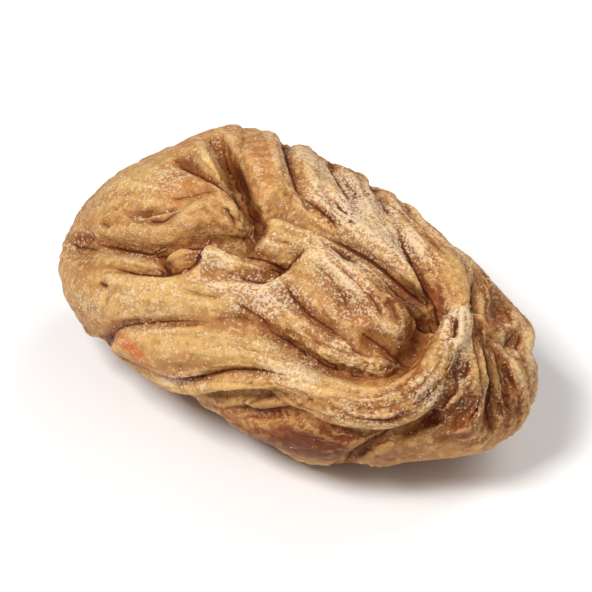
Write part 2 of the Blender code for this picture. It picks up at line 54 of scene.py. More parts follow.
MM = 0.001
SEEN_WIDTH = 49.8 * MM  # from the outline's left end to its right end, in the drawn view
HALF_DEPTH = 15.5 * MM  # from the middle to the surface, along the line of sight
FOOT_BELOW_MIDDLE = 12.0 * MM  # where the table flattens the underside
VIEW_AZIMUTH = math.radians(21.0)
VIEW_ELEVATION = math.radians(42.0)
RIM_LEAN = (0.16, -0.39)  # how far the outline's plane leans toward the viewer, per metre right and up
SPHERE_CUTS = 8
VOXEL = 0.3 * MM

# Places in the drawn view, in pixels
VIEW_CENTRE = (318.0, 130.0)
EYE = (291.0, 84.0)
NECK_TIP = (424.0, 150.0)
OUTLINE = (
    (473.5, 172), (469, 152), (456, 130), (434, 106), (402, 80), (366, 57), (334, 40), (303, 26),
    (268, 21), (236, 31), (204, 49), (178, 74), (162, 100), (168, 130), (190, 158), (226, 188),
    (268, 210), (312, 230), (356, 239), (400, 235), (438, 228), (462, 210), (472, 192),
)
PIXEL = SEEN_WIDTH / (OUTLINE[0][0] - OUTLINE[12][0])

# A crease runs along its path. The skin on its `over` side, seen along the path, laps over the other.
# Depth and width are in millimetres, and ends are the shares of the depth left at the path's two ends.
Crease = namedtuple("Crease", "name over depth width ends path")
CREASES = [Crease(*row) for row in (
    ("eye wedge", "left", 4.5, 0.8, (0.05, 1.0),
     ((267, 23), (271, 32), (275, 42), (280, 55), (286, 68), (295, 80))),
    ("under nose", "left", 4.2, 0.9, (1.0, 0.6), ((294, 79), (290, 91), (280, 98), (264, 93))),
    ("crown fold", "right", 1.6, 0.6, (0.1, 0.8), ((238, 41), (248, 47), (258, 52), (269, 56), (284, 63))),
    ("brow line", "", 1.0, 0.5, (0.2, 0.2), ((207, 77), (223, 78), (237, 75), (247, 70), (256, 65))),
    ("nose line", "", 0.5, 0.5, (0.3, 0.5), ((268, 78), (274, 85), (276, 92))),
    ("cheek cleft", "left", 2.8, 0.8, (0.15, 0.9),
     ((178, 94), (194, 93), (212, 95), (230, 99), (248, 97), (262, 92))),
    ("left pit", "", 1.6, 1.0, (0.3, 0.2), ((166, 93), (177, 94), (188, 98))),
    ("shelf lip", "right", 2.2, 0.7, (0.1, 0.9),
     ((190, 108), (204, 112), (220, 114), (238, 114), (252, 110), (258, 97))),
    ("knob side", "left", 2.0, 0.6, (0.7, 0.8), ((231, 100), (229, 106), (234, 113))),
    ("tongue top", "left", 2.2, 0.6, (0.3, 1.0), ((278, 99), (295, 103), (311, 106))),
    ("tongue pocket", "right", 3.4, 0.9, (0.6, 0.2), ((284, 115), (295, 115), (306, 109), (326, 99))),
    ("tongue foot", "", 0.9, 0.7, (0.3, 0.8), ((258, 112), (270, 115), (284, 115))),
    ("long cleft", "right", 4.4, 1.0, (0.5, 1.2),
     ((295, 79), (308, 75), (322, 80), (344, 94), (368, 110), (388, 127), (412, 143))),
    ("middle line", "left", 1.7, 0.8, (0.15, 0.3),
     ((307, 116), (315, 128), (324, 138), (338, 149), (352, 157))),
    ("pocket brow", "", 1.5, 0.8, (0.1, 1.0), ((356, 150), (368, 157), (380, 165), (388, 171))),
    ("lower cleft", "left", 2.8, 0.9, (0.1, 1.0),
     ((288, 144), (306, 156), (320, 166), (334, 174), (351, 180), (367, 185), (382, 180))),
    ("soft valley", "", 0.5, 1.4, (0.1, 0.6), ((262, 140), (282, 145), (292, 147))),
    ("bulge line", "", 0.5, 0.9, (0.3, 0.1), ((238, 122), (266, 130), (306, 142))),
    ("corner line", "right", 1.7, 0.6, (0.1, 0.1),
     ((188, 167), (194, 161), (203, 152), (222, 148), (250, 146), (276, 148))),
    ("corner back", "", 1.0, 0.8, (0.5, 0.8), ((193, 162), (205, 172), (225, 182))),
    ("hem line", "left", 1.8, 0.6, (0.8, 0.1),
     ((226, 182), (240, 186), (258, 183), (276, 179), (300, 179), (324, 182))),
    ("under hem", "left", 2.6, 0.9, (0.1, 0.8),
     ((222, 191), (230, 193), (244, 198), (260, 199), (274, 195), (300, 195), (318, 196))),
    ("neck under", "left", 3.4, 0.9, (0.2, 0.4),
     ((304, 188), (321, 199), (342, 210), (368, 217), (391, 216), (410, 209), (420, 198))),
    ("belly line", "left", 1.6, 0.8, (0.3, 0.8), ((272, 206), (292, 210), (310, 207), (325, 201))),
    ("chin line", "right", 1.8, 0.8, (0.1, 0.8), ((350, 242), (356, 236), (369, 227), (382, 219))),
    ("skirt shadow", "", 0.8, 0.8, (0.8, 0.2), ((388, 222), (404, 220), (416, 221), (430, 216))),
    ("skirt line 1", "", 2.2, 0.7, (0.4, 0.1), ((431, 152), (439, 168), (444, 188), (445, 222))),
    ("skirt line 2", "", 1.8, 0.7, (0.3, 0.1), ((438, 156), (446, 168), (453, 188), (459, 208))),
    ("skirt edge", "right", 2.2, 0.7, (1.0, 0.1),
     ((434, 140), (443, 151), (453, 160), (462, 173), (468, 188))),
    ("far notch", "", 1.8, 0.7, (0.4, 1.0), ((465, 150), (460, 157), (453, 163))),
    ("shade line", "right", 2.4, 0.8, (0.3, 1.0), ((435, 113), (436, 133), (441, 151))),
    ("lit edge", "left", 2.6, 0.7, (0.3, 1.0), ((384, 80), (394, 97), (401, 113), (415, 139))),
    ("crown line", "", 1.9, 0.6, (0.1, 0.7), ((309, 21), (312, 30), (316, 44), (320, 60))),
    ("crown tail", "", 1.0, 0.6, (0.7, 0.3), ((320, 60), (329, 71), (342, 84), (346, 92))),
    ("arch 1", "", 0.7, 0.6, (0.1, 0.3), ((334, 54), (347, 71), (358, 83))),
    ("arch 2", "left", 1.4, 0.6, (0.1, 0.2), ((337, 36), (344, 46), (354, 59), (361, 72))),
    ("arch 3", "", 1.0, 0.6, (0.1, 0.4), ((363, 49), (369, 58), (376, 72), (382, 86))),
    ("rim line 1", "", 0.8, 0.6, (0.1, 0.2), ((378, 59), (388, 69), (402, 84), (422, 102))),
    ("rim line 2", "", 1.1, 0.7, (0.4, 0.4), ((402, 78), (424, 98), (446, 121), (455, 136))),
    ("crown crease", "", 0.5, 0.5, (0.3, 0.3), ((292, 30), (297, 46), (302, 64))),
    ("roll line 1", "", 0.6, 0.5, (0.2, 0.2), ((324, 68), (340, 82), (356, 98), (374, 115))),
    ("roll line 2", "", 0.5, 0.4, (0.2, 0.3), ((349, 78), (362, 93), (380, 110), (396, 128))),
    ("fold line 1", "", 0.5, 0.4, (0.2, 0.3), ((326, 96), (346, 107), (364, 121), (380, 142))),
    ("fold line 2", "", 0.5, 0.4, (0.2, 0.3), ((322, 112), (340, 122), (356, 136), (372, 154))),
    ("fold line 3", "", 0.4, 0.4, (0.2, 0.2), ((340, 98), (360, 110), (376, 124), (390, 142))),
    ("under line 1", "", 0.5, 0.4, (0.2, 0.2), ((310, 140), (326, 151), (344, 163), (364, 173))),
    ("front line 1", "", 0.4, 0.9, (0.2, 0.2), ((176, 122), (200, 128), (228, 130), (250, 134))),
    ("front line 2", "", 0.3, 0.8, (0.2, 0.2), ((190, 140), (212, 138), (240, 138), (262, 143))),
    ("lobe line 1", "", 0.4, 0.6, (0.2, 0.2), ((222, 158), (250, 157), (284, 162), (316, 172))),
    ("lobe line 2", "", 0.5, 0.5, (0.2, 0.2), ((236, 174), (262, 172), (292, 171), (318, 176))),
    ("hem crease", "", 0.7, 0.5, (0.2, 0.2), ((250, 192), (276, 187), (302, 187), (322, 192))),
)]
NECK_CREASES = [Crease(*row) for row in (
    ("neck pleat", "left", 1.0, 0.5, (0.4, 0.8),
     ((428, 156), (425, 174), (417, 193), (404, 209), (390, 217))),
    ("skirt ripple", "", 0.8, 0.5, (0.2, 0.5), ((431, 170), (430, 188), (424, 204), (410, 220))),
    ("neck rib 1", "", 0.5, 0.4, (0.4, 0.2), ((419, 146), (416, 164), (408, 182), (392, 197), (366, 205))),
    ("neck rib 2", "", 0.4, 0.4, (0.4, 0.2), ((412, 152), (409, 168), (400, 184), (384, 192), (360, 194))),
    ("neck rib 3", "", 0.5, 0.4, (0.4, 0.2), ((424, 158), (420, 176), (410, 194), (392, 206), (366, 212))),
    ("tip line 1", "", 0.6, 0.5, (1.0, 0.3), ((419, 138), (416, 150), (412, 162))),
    ("tip line 2", "", 0.6, 0.5, (1.0, 0.3), ((427, 140), (429, 152), (430, 166))),
)]

# A roll is a raised fold. Its heights in millimetres and half widths in pixels run from the path's start to
# its end.
Roll = namedtuple("Roll", "name heights halves path")
ROLLS = [Roll(*row) for row in (
    ("neck bed", (0.4, 1.4, 1.4), (12, 17, 17), ((310, 180), (345, 190), (374, 196), (404, 184))),
    ("skirt", (2.6, 2.6, 1.4), (13, 18, 20), ((426, 152), (428, 178), (422, 210))),
    ("skirt fold 1", (0.8, 1.6, 0.5), (7, 10, 11), ((435, 148), (446, 172), (450, 204))),
    ("skirt fold 2", (0.6, 1.2, 0.3), (6, 8, 9), ((440, 146), (455, 168), (462, 192))),
    ("central fold", (0.8, 1.8, 1.6, 0.6), (14, 20, 18, 12), ((300, 90), (335, 102), (364, 123), (386, 150))),
    ("under fold", (0.3, 1.1, 1.2), (8, 10, 9), ((316, 142), (344, 164), (378, 174))),
    ("far fold", (0.4, 1.0, 0.8), (9, 12, 10), ((338, 74), (372, 98), (404, 130))),
    ("nose", (0.3, 0.8, 1.2, 2.0, 3.0), (10, 11, 12, 13, 13),
     ((190, 84), (216, 87), (240, 86), (262, 80), (279, 81))),
)]

# A swell is a soft hill or hollow. Its half sizes are in pixels, its turn in degrees and its height in
# millimetres.
Swell = namedtuple("Swell", "name centre half_sizes turn height")
SWELLS = [Swell(*row) for row in (
    ("pocket", (397, 156), (8, 17), -25, -4.0),
    ("knob", (246, 104), (12, 8), 0, 2.1),
    ("shelf", (208, 104), (26, 7), -4, -0.8),
    ("step", (267, 102), (11, 7), -20, 1.3),
    ("far hollow", (450, 138), (9, 20), -25, -1.6),
    ("under hollow", (298, 204), (30, 7), 0, -1.0),
    ("corner bulge", (245, 164), (45, 13), 0, 1.1),
    ("front bulge", (230, 130), (50, 15), 0, 1.3),
    ("crown lobe", (303, 48), (14, 24), 5, 1.5),
    ("left lobe", (262, 41), (15, 15), 30, 1.5),
    ("brow lobe", (215, 62), (35, 16), 30, 1.1),
    ("hem roll", (285, 188), (45, 6), -3, 1.1),
    ("lit fold", (412, 105), (30, 9), -42, 0.9),
)]

# The neck's middle line: the pixel, then the radius and the lift above the fruit in millimetres
NECK = (
    ((302, 184), 0.9, -2.4), ((322, 190), 1.9, -2.0), ((341, 195), 2.6, -1.8), ((360, 200), 2.7, -1.0),
    ((378, 200), 2.6, -0.3), ((393, 193), 2.5, 0.4), ((405, 182), 2.4, 0.8), ((413, 170), 2.3, 1.2),
    ((418, 158), 2.1, 1.6), ((421, 148), 1.7, 2.0), ((422, 141), 1.2, 2.2),
)
NECK_FREE_END = ((422, 138), 0.9, 2.3)

LAP_SHARE = 0.03  # of a crease's depth, by which one side laps over the other
LIP_SHARE = 0.12
GROOVE_ROUND = 0.5  # of a crease's width
CREASE_REACH = 5  # crease widths to each side, beyond which the skin stays as it is
END_FADE = 0.3  # of a crease's length, within which its depth changes toward each end
JOIN_POWER = 4  # where creases meet, the deeper one counts for nearly all
LUMP_HEIGHT = 1.3 * MM
LUMP_SIZE = 12 * MM
LUMPS_SEEN = 0.25  # of their height, on the side that the drawn view shows
PLEATS = 20
PLEAT_DEPTH = 1.6 * MM
PLEAT_SHARPNESS = 0.2
PLEAT_CREST = 0.25  # of the depth, by which the skin stands up between two pleats
PLEAT_BENDS, PLEAT_WANDER = 1.3, 2.6  # how close a pleat's bends are, and how far they go, in radians
PLEAT_PATCHES, PLEAT_JITTER = 2.1, 1.1  # the same for the changes of depth, which bend it too
ROLL_ROUNDNESS = 0.6
FOOT_FADE = 3 * MM  # height above the table within which the relief comes in
SEEN_FADE = 0.5  # how far round the egg the drawn view's swells and zones fade out
HIDDEN_EDGE, HIDDEN_FADE = 0.02, 0.45  # where the hidden side's own relief comes in, and how slowly
FACING_LEAST, FACING_FADE = 0.05, 0.25  # the same for hairlines, by how squarely the skin faces the viewer
EASING = 4  # rounds
SEAM_EASING = 2

# One side of a crease: the sharp and the soft part of its depth, each with its reach in crease widths
Side = namedtuple("Side", "sharp sharp_reach soft soft_reach")
OPEN_SIDE = Side(0.75, 1.0, 0.25, 2.4)
LAPPED_SIDE = Side(0.9, 0.45, 0.1, 2.0)

# A crease's dark line: painted shade at its bottom, over somewhat darker skin
SEAM_REACH = 0.9 * MM  # how far to each side of a crease the dark line at its bottom is known
SEAM_DEPTH = 2.0  # depth in millimetres from which a crease's line is darkest
SEAM_LEAST = 1.4  # depth in millimetres below which the egg's own creases get no line
NO_SEAM = (1.0, 0.0)  # off the line, and not dark

# Hairline creases, finer than the solid's: depth in millimetres, darkness and path
HAIRLINE_WIDTH = 0.45
HAIRLINE_ENDS = (0.1, 0.1)
HAIRLINE_DARKNESS = 0.9  # of a deep crease's
HAIRLINES = (
    (0.6, 1.2,
     ((328, 89), (344, 97), (356, 104), (368, 112), (380, 122), (390, 131), (402, 138), (411, 143))),
    (0.3, 0.5, ((319, 61), (316, 66), (315, 72))),
    (0.5, 0.8, ((321, 64), (326, 68), (331, 72), (335, 76), (338, 79), (342, 85), (344, 89))),
    (0.5, 0.8, ((340, 65), (344, 69), (349, 74), (354, 80), (358, 84))),
    (0.4, 0.6, ((344, 45), (348, 50), (352, 56), (356, 63), (358, 69))),
    (0.4, 0.6, ((371, 62), (374, 68), (377, 74), (379, 80))),
    (0.4, 0.5, ((384, 68), (388, 72), (392, 78), (398, 83), (405, 90), (412, 98), (418, 106))),
    (0.4, 0.7, ((395, 80), (400, 85), (407, 92))),
    (0.3, 0.4, ((344, 96), (352, 102), (360, 108), (368, 115), (376, 124), (384, 135))),
    (0.3, 0.4, ((334, 104), (344, 110), (353, 118), (361, 127), (368, 137), (374, 147))),
    (0.4, 0.5, ((322, 104), (332, 112), (340, 120), (347, 130), (353, 140), (360, 149))),
    (0.4, 0.6, ((360, 125), (366, 131), (370, 138), (373, 146))),
    (0.4, 0.6, ((376, 128), (380, 138), (384, 148))),
    (0.2, 0.3, ((304, 84), (312, 87), (320, 91), (326, 95))),
    (0.2, 0.3, ((300, 92), (310, 96), (318, 99))),
    (0.3, 0.5, ((352, 159), (360, 163), (368, 168))),
    (0.3, 0.4, ((318, 146), (328, 153), (338, 160), (350, 166), (362, 170))),
    (0.4, 0.6, ((418, 160), (417, 168), (414, 176), (410, 184), (403, 192), (395, 198), (385, 203))),
    (0.5, 0.7, ((422, 163), (421, 175), (419, 186), (415, 196), (408, 204), (399, 210), (388, 214))),
    (0.4, 0.8, ((428, 171), (426, 177), (424, 183))),
    (0.3, 0.4, ((411, 163), (408, 172), (403, 180), (396, 187), (386, 192), (374, 194))),
    (0.3, 0.4, ((400, 188), (390, 196), (378, 200), (364, 202), (350, 202))),
    (0.3, 0.5, ((405, 196), (396, 204), (384, 209), (370, 211), (356, 209), (344, 205))),
    (0.2, 0.3, ((340, 192), (352, 196), (366, 198))),
    (0.6, 0.9, ((420, 141), (418, 149), (417, 158))),
    (0.6, 0.8, ((430, 141), (432, 150), (434, 160), (436, 172), (438, 184), (438, 194))),
    (0.4, 0.6, ((438, 192), (436, 200), (430, 208), (422, 214))),
    (0.4, 0.6, ((432, 190), (429, 198), (423, 206), (414, 213))),
    (0.4, 0.5, ((428, 186), (424, 196), (416, 206), (406, 213))),
    (0.5, 0.8, ((446, 165), (450, 172), (454, 180), (458, 188), (462, 193))),
    (0.3, 0.5, ((442, 168), (445, 178), (449, 188), (453, 198))),
    (0.3, 0.4, ((456, 176), (461, 184), (466, 191))),
    (0.4, 0.8, ((457, 163), (461, 158), (464, 152))),
    (0.4, 0.6, ((444, 196), (448, 204), (452, 210))),
    (0.3, 0.5, ((436, 176), (440, 190), (441, 204), (438, 216))),
    (0.3, 0.5, ((404, 222), (418, 221), (432, 217))),
    (0.3, 0.5, ((447, 122), (452, 132), (456, 142), (458, 150))),
    (0.3, 0.5, ((441, 128), (446, 138), (450, 148))),
    (0.3, 0.5, ((300, 214), (318, 220), (336, 226), (352, 229))),
    (0.3, 0.5, ((330, 214), (344, 220), (356, 222))),
    (0.2, 0.4, ((240, 123), (250, 126), (260, 129), (271, 131))),
    (0.4, 0.7, ((276, 132), (284, 137), (292, 142), (299, 149), (306, 156))),
    (0.3, 0.9, ((190, 120), (193, 123), (197, 123))),
    (0.3, 0.4, ((262, 146), (272, 144), (284, 144), (294, 148))),
    (0.2, 0.3, ((300, 120), (306, 128), (312, 136))),
    (0.5, 0.9, ((207, 76), (214, 78), (222, 78), (230, 79), (237, 76), (245, 74))),
    (0.4, 0.5, ((232, 68), (238, 66), (246, 65), (254, 63), (262, 61), (270, 61))),
    (0.4, 0.8, ((268, 72), (274, 77), (278, 83), (280, 89))),
    (0.2, 0.4, ((248, 79), (254, 74), (261, 71))),
    (0.3, 0.7, ((190, 82), (194, 84), (198, 87))),
    (0.3, 0.4, ((236, 40), (242, 42), (248, 47))),
    (0.3, 0.4, ((262, 22), (266, 30), (270, 38))),
    (0.3, 0.4, ((283, 20), (283, 28), (281, 36))),
)

# Edges of folds that catch the light and hold the most sugar, painted pale as a highlight and sugared: strength
# and path
LIT_AND_SUGARED_EDGES = (
    (1.0, ((443, 155), (449, 161), (454, 168), (460, 177), (465, 185), (470, 195))),
    (0.9, ((454, 122), (460, 131), (466, 143), (470, 158), (471, 175), (469, 190))),
    (0.8, ((413, 142), (420, 139), (427, 140), (430, 146))),
    (0.9, ((425, 141), (427, 148), (430, 158), (433, 170))),
    (0.6, ((415, 143), (413, 151), (410, 160))),
    (0.8, ((388, 84), (394, 90), (397, 98), (401, 108))),
    (0.6, ((262, 63), (272, 62), (281, 66), (288, 72))),
    (0.6, ((330, 91), (340, 93), (350, 101), (362, 110), (374, 120), (384, 129))),
    (0.8, ((386, 65), (396, 75), (410, 87), (424, 100), (438, 113))),
    (0.9, ((226, 180), (233, 186), (243, 188))),
    (0.7, ((196, 158), (204, 153), (216, 151), (240, 149))),
    (0.6, ((246, 190), (262, 185), (282, 181), (300, 181))),
    (0.5, ((258, 95), (262, 98), (270, 101), (282, 102))),
    (0.6, ((340, 210), (360, 215), (380, 216), (396, 211))),
)

# Wrinkles that follow the folds, from the widest to the finest. `steps` is how many steps long they are each
# way, and `plain` is the share of the height that is left where the seen side is smooth and full.
GRAIN_STEP = 1.0 * MM
GRAIN_REACH = 3 * MM  # how far a crease turns the skin's grain toward its own run
GRAIN_GENERAL = 0.15  # pull of the run from eye to neck, where a crease's own is 1
GRAIN_SPREAD = 0.3  # standard deviation of the noise once it is drawn out
Wrinkle = namedtuple("Wrinkle", "width steps height valley plain seed")
WRINKLES = (
    Wrinkle(3.4 * MM, 7, 0.28 * MM, 0.12, 0.6, 0),
    Wrinkle(2.0 * MM, 6, 0.32 * MM, 0.12, 0.35, 31),
    Wrinkle(2.3 * MM, 2, 0.22 * MM, 0.12, 0.5, 83),
    Wrinkle(1.2 * MM, 5, 0.25 * MM, 0.16, 0.15, 57),
)
WRINKLE_CREST = 0.8  # of a wrinkle's height, for the swell beside its valley
SEED_LUMPS = (1.3 * MM, 0.07 * MM, 91)  # size, height and noise seed of the bumps that the seeds press up

# How hollow the skin is: rounds of easing for the near and the far surface, and the depth that counts as 1
# The material paints shade in the hollows and a highlight on the crests from these
BROAD_HOLLOW = (2, 120, 1.0 * MM)
FINE_HOLLOW = (0, 10, 0.10 * MM)

# Noise that makes a cover patchy: size in millimetres, seed, the share at its mean, its swing, and its limits
Patches = namedtuple("Patches", "size seed mean swing least most")
FOLDED_PATCHES = Patches(7, 40, 0.75, 0.9, 0.2, 1)
SUGAR_PATCHES = Patches(1.4, 1.4, 0.5, 2.2, 0.05, 2)
HIDDEN_PATCHES = {
    "bloom": Patches(5, 5, 0.15, 1.1, 0, 0.8),
    "russet": Patches(11, 11, 0.15, 1, 0, 0.7),
    "amber": Patches(5, 5, -0.35, 1.4, 0, 0.5),
    "gold": Patches(11, 11, 0.3, -1.2, 0, 0.9),
}
SUGAR_CLEARANCE = 0.5 * MM  # height above the table below which no sugar lies
SUGAR_ANYWHERE = 0.25  # of the crystals, where there is neither bloom nor a pale edge
LINE_WIDTH = 0.3  # in millimetres, within which a crease's line holds off the crystals

# Where the seen side changes, as soft ellipses in the drawn view: centre and half sizes in pixels, turn in
# degrees, and strength
ZONES = {
    "folded": (
        (378, 200, 50, 22, 20, 1.0), (425, 180, 26, 42, 0, 1.0), (452, 180, 22, 40, 15, 1.0),
        (366, 130, 50, 20, -40, 0.9), (446, 126, 16, 34, 25, 1.0), (300, 200, 46, 12, 0, 0.8),
        (350, 168, 40, 12, -22, 0.8), (362, 74, 54, 24, -38, 1.0), (286, 80, 9, 12, 0, 0.5),
        (268, 36, 10, 20, 25, 0.6), (176, 98, 14, 12, 0, 0.8), (410, 112, 40, 12, -48, 0.7),
        (300, 184, 40, 7, -4, 0.6), (300, 92, 20, 14, 0, 0.4),
    ),
    "bloom": (
        (452, 140, 13, 34, 28, 0.5), (174, 94, 15, 10, 10, 0.6), (432, 104, 28, 9, -38, 0.7),
        (350, 52, 60, 10, -28, 1.0), (200, 60, 34, 8, 38, 0.35), (214, 104, 24, 6, 0, 0.5),
        (366, 200, 44, 14, 12, 0.45), (420, 168, 10, 28, 8, 0.8), (454, 196, 16, 20, 10, 0.45),
        (345, 116, 54, 22, -40, 0.7), (243, 184, 18, 5, -5, 0.8), (266, 108, 18, 7, -10, 0.9),
        (470, 170, 6, 22, 0, 0.3), (340, 160, 44, 10, -28, 0.5), (302, 36, 22, 10, -20, 0.35),
        (294, 128, 42, 16, -10, 0.9), (320, 180, 28, 11, -14, 0.9), (362, 78, 56, 22, -40, 1.05),
        (376, 104, 36, 10, -42, 0.6), (420, 146, 10, 12, 0, 1.0), (300, 92, 18, 10, 0, 0.6),
        (186, 132, 14, 16, 0, 0.5), (282, 160, 50, 12, -8, 0.4), (240, 50, 50, 14, 28, 0.45),
        (300, 44, 16, 26, 0, 0.3), (230, 82, 36, 12, 8, 0.25), (225, 132, 60, 16, -4, 0.5),
        (402, 192, 16, 14, 40, 0.9), (424, 206, 24, 16, 30, 0.7), (296, 204, 34, 6, 0, 0.4),
    ),
    # Russet skin, and painted shade: under the fruit, in the eye's cleft and the pocket, under the nose and
    # along the long cleft
    "russet": (
        (382, 172, 17, 9, -20, 1.0), (397, 154, 9, 20, 10, 0.8), (380, 134, 20, 12, -45, 1.0),
        (417, 148, 3.5, 9, -14, 1.0), (430, 150, 3, 11, 6, 0.8), (178, 93, 9, 5, 0, 0.8),
        (250, 46, 9, 6, -35, 0.8), (283, 58, 6, 18, 22, 1.0), (290, 78, 7, 12, 25, 0.9),
        (424, 210, 30, 16, 30, 0.7), (446, 134, 10, 26, 25, 0.65), (235, 108, 5, 6, 0, 0.9),
        (298, 202, 40, 8, 0, 0.5), (364, 166, 20, 6, -25, 0.5), (468, 178, 8, 22, 0, 0.5),
        (228, 84, 36, 6, 6, 0.35), (330, 224, 58, 15, -8, 1.0), (408, 132, 10, 18, 35, 0.9),
        (456, 196, 12, 16, 5, 0.7), (380, 228, 24, 9, 10, 0.6), (306, 150, 30, 5, -24, 0.5),
        (452, 200, 14, 18, 10, 0.5), (276, 88, 6, 5, 0, 0.5), (300, 114, 9, 5, 15, 0.7),
        (293, 90, 14, 6, 60, 0.9), (394, 140, 18, 5, -40, 0.6),
    ),
    # Painted deep shade: under the fruit, in the eye's cleft, under the nose and in the long cleft. It also
    # keeps the sugar off.
    "juice": (
        (283, 58, 5, 19, 20, 0.95), (382, 174, 14, 6, -20, 0.6), (396, 128, 5, 13, 45, 0.75),
        (333, 226, 58, 12, -8, 0.6), (292, 80, 4, 9, 25, 0.8), (460, 200, 10, 12, 10, 0.45),
        (280, 92, 7, 4, 10, 0.5), (298, 201, 34, 4, 0, 0.5), (428, 214, 22, 9, 20, 0.4),
        (296, 91, 11, 3.5, 60, 0.7), (396, 139, 15, 4.5, -40, 0.65),
    ),
    "amber": (
        (211, 163, 19, 5, -44, 0.9), (296, 46, 14, 24, 10, 0.4), (250, 62, 20, 6, -20, 0.4),
        (186, 122, 8, 12, 20, 0.25), (248, 102, 9, 7, 0, 0.45), (222, 66, 40, 14, 25, 0.15),
        (246, 30, 18, 6, 15, 0.3), (240, 182, 10, 4, -10, 0.6), (402, 100, 10, 16, 40, 0.35),
        (355, 236, 20, 4, 0, 0.4),
    ),
    # Golden skin, and painted light on places that the lamps leave in shade, such as the neck and the band
    # below the cheek cleft
    "gold": (
        (228, 130, 62, 17, -4, 1.0), (262, 162, 58, 11, -6, 1.0), (232, 78, 50, 18, 12, 0.25),
        (215, 55, 36, 14, 35, 0.8), (303, 86, 18, 10, -10, 0.8), (278, 188, 44, 5, 2, 0.7),
        (382, 229, 18, 7, 20, 0.4), (326, 104, 22, 13, -25, 0.8), (424, 118, 26, 7, -48, 0.6),
        (304, 52, 9, 20, 0, 0.4), (466, 170, 6, 16, -8, 0.2), (405, 172, 4, 20, -12, 0.8),
        (246, 103, 8, 5, 0, 0.4), (360, 72, 50, 16, -38, 0.9), (324, 182, 28, 11, -14, 0.9),
        (206, 104, 26, 7, 0, 0.9), (272, 106, 16, 8, -10, 0.9), (285, 189, 36, 5, -2, 1.0),
        (444, 184, 7, 18, 8, 0.9), (395, 199, 16, 7, 30, 0.8), (262, 42, 12, 14, 20, 0.9),
        (411, 180, 24, 9, 62, 1.0), (422, 152, 8, 12, 0, 0.7), (436, 186, 8, 26, 6, 0.5),
    ),
}


def smooth_path(path, per_span=5):
    """Points on a smooth line through the path's own points."""
    points = np.array(path, float)
    points = np.vstack([2 * points[0] - points[1], points, 2 * points[-1] - points[-2]])
    t = (np.arange(per_span) / per_span)[:, None]
    spans = []
    for a, b, c, d in zip(points, points[1:], points[2:], points[3:]):
        bend = (2 * a - 5 * b + 4 * c - d) * t**2 + (3 * b - a - 3 * c + d) * t**3
        spans.append(b + 0.5 * ((c - a) * t + bend))
    return np.vstack([*spans, points[-2]])


def view_axes():
    """Right, up and toward the viewer, for the side that the fruit is drawn from."""
    sa, ca = math.sin(VIEW_AZIMUTH), math.cos(VIEW_AZIMUTH)
    se, ce = math.sin(VIEW_ELEVATION), math.cos(VIEW_ELEVATION)
    return np.array([[ca, sa, 0], [-sa * se, ca * se, ce], [sa * ce, -ca * ce, se]])


RIGHT, UP, TOWARD = view_axes()


def in_view(pixels):
    """Distances right and up of the view's centre."""
    pixels = np.asarray(pixels, float)
    return (pixels[..., 0] - VIEW_CENTRE[0]) * PIXEL, (VIEW_CENTRE[1] - pixels[..., 1]) * PIXEL


def outline_table():
    """The outline as angles about the view's centre, with their radii."""
    right, up = in_view(smooth_path(OUTLINE + OUTLINE[:1], per_span=12))
    angle = np.arctan2(up, right)
    order = np.argsort(angle)
    return angle[order], np.hypot(right, up)[order]


ANGLES, RADII = outline_table()


def outline_radius(angle):
    return np.interp(angle, ANGLES, RADII, period=2 * math.pi)


def body_point(unit):
    """The place on the plain egg of each point of the unit sphere, whose third axis is toward the viewer."""
    angle = np.arctan2(unit[:, 1], unit[:, 0])
    radius = outline_radius(angle) * np.hypot(unit[:, 0], unit[:, 1])
    right, up = radius * np.cos(angle), radius * np.sin(angle)
    toward = RIM_LEAN[0] * right + RIM_LEAN[1] * up + HALF_DEPTH * unit[:, 2]
    return np.stack([right, up, toward], axis=1) @ np.stack([RIGHT, UP, TOWARD])


def unit_of(points):
    """The unit sphere's point that a place on or near the egg belongs to."""
    right, up, toward = (points @ axis for axis in (RIGHT, UP, TOWARD))
    angle = np.arctan2(up, right)
    share = np.hypot(right, up) / outline_radius(angle)
    depth = (toward - RIM_LEAN[0] * right - RIM_LEAN[1] * up) / HALF_DEPTH
    return normalized(np.stack([share * np.cos(angle), share * np.sin(angle), depth], axis=1))


def unit_of_pixels(pixels):
    """The unit sphere's points that show at these pixels, or past the outline lie as far round the back."""
    right, up = in_view(pixels)
    angle = np.arctan2(up, right)
    past = 1 - np.hypot(right, up) / outline_radius(angle)
    share = 1 - np.abs(past)
    depth = np.sqrt(1 - share**2) * np.sign(past)
    return np.stack([share * np.cos(angle), share * np.sin(angle), depth], axis=-1)


def on_egg(pixels):
    return body_point(unit_of_pixels(pixels))


def normalized(vectors):
    return vectors / np.maximum(np.linalg.norm(vectors, axis=1), 1e-12)[:, None]


def smooth_step(share):
    share = np.clip(share, 0, 1)
    return share * share * (3 - 2 * share)


def noise_at(points):
    return np.array([noise.noise(Vector(p)) for p in points])


def patchy(points, patches):
    """The share at each point of a cover with these patches."""
    grain = noise_at(points / (patches.size * MM) + patches.seed)
    return np.clip(patches.mean + patches.swing * grain, patches.least, patches.most)


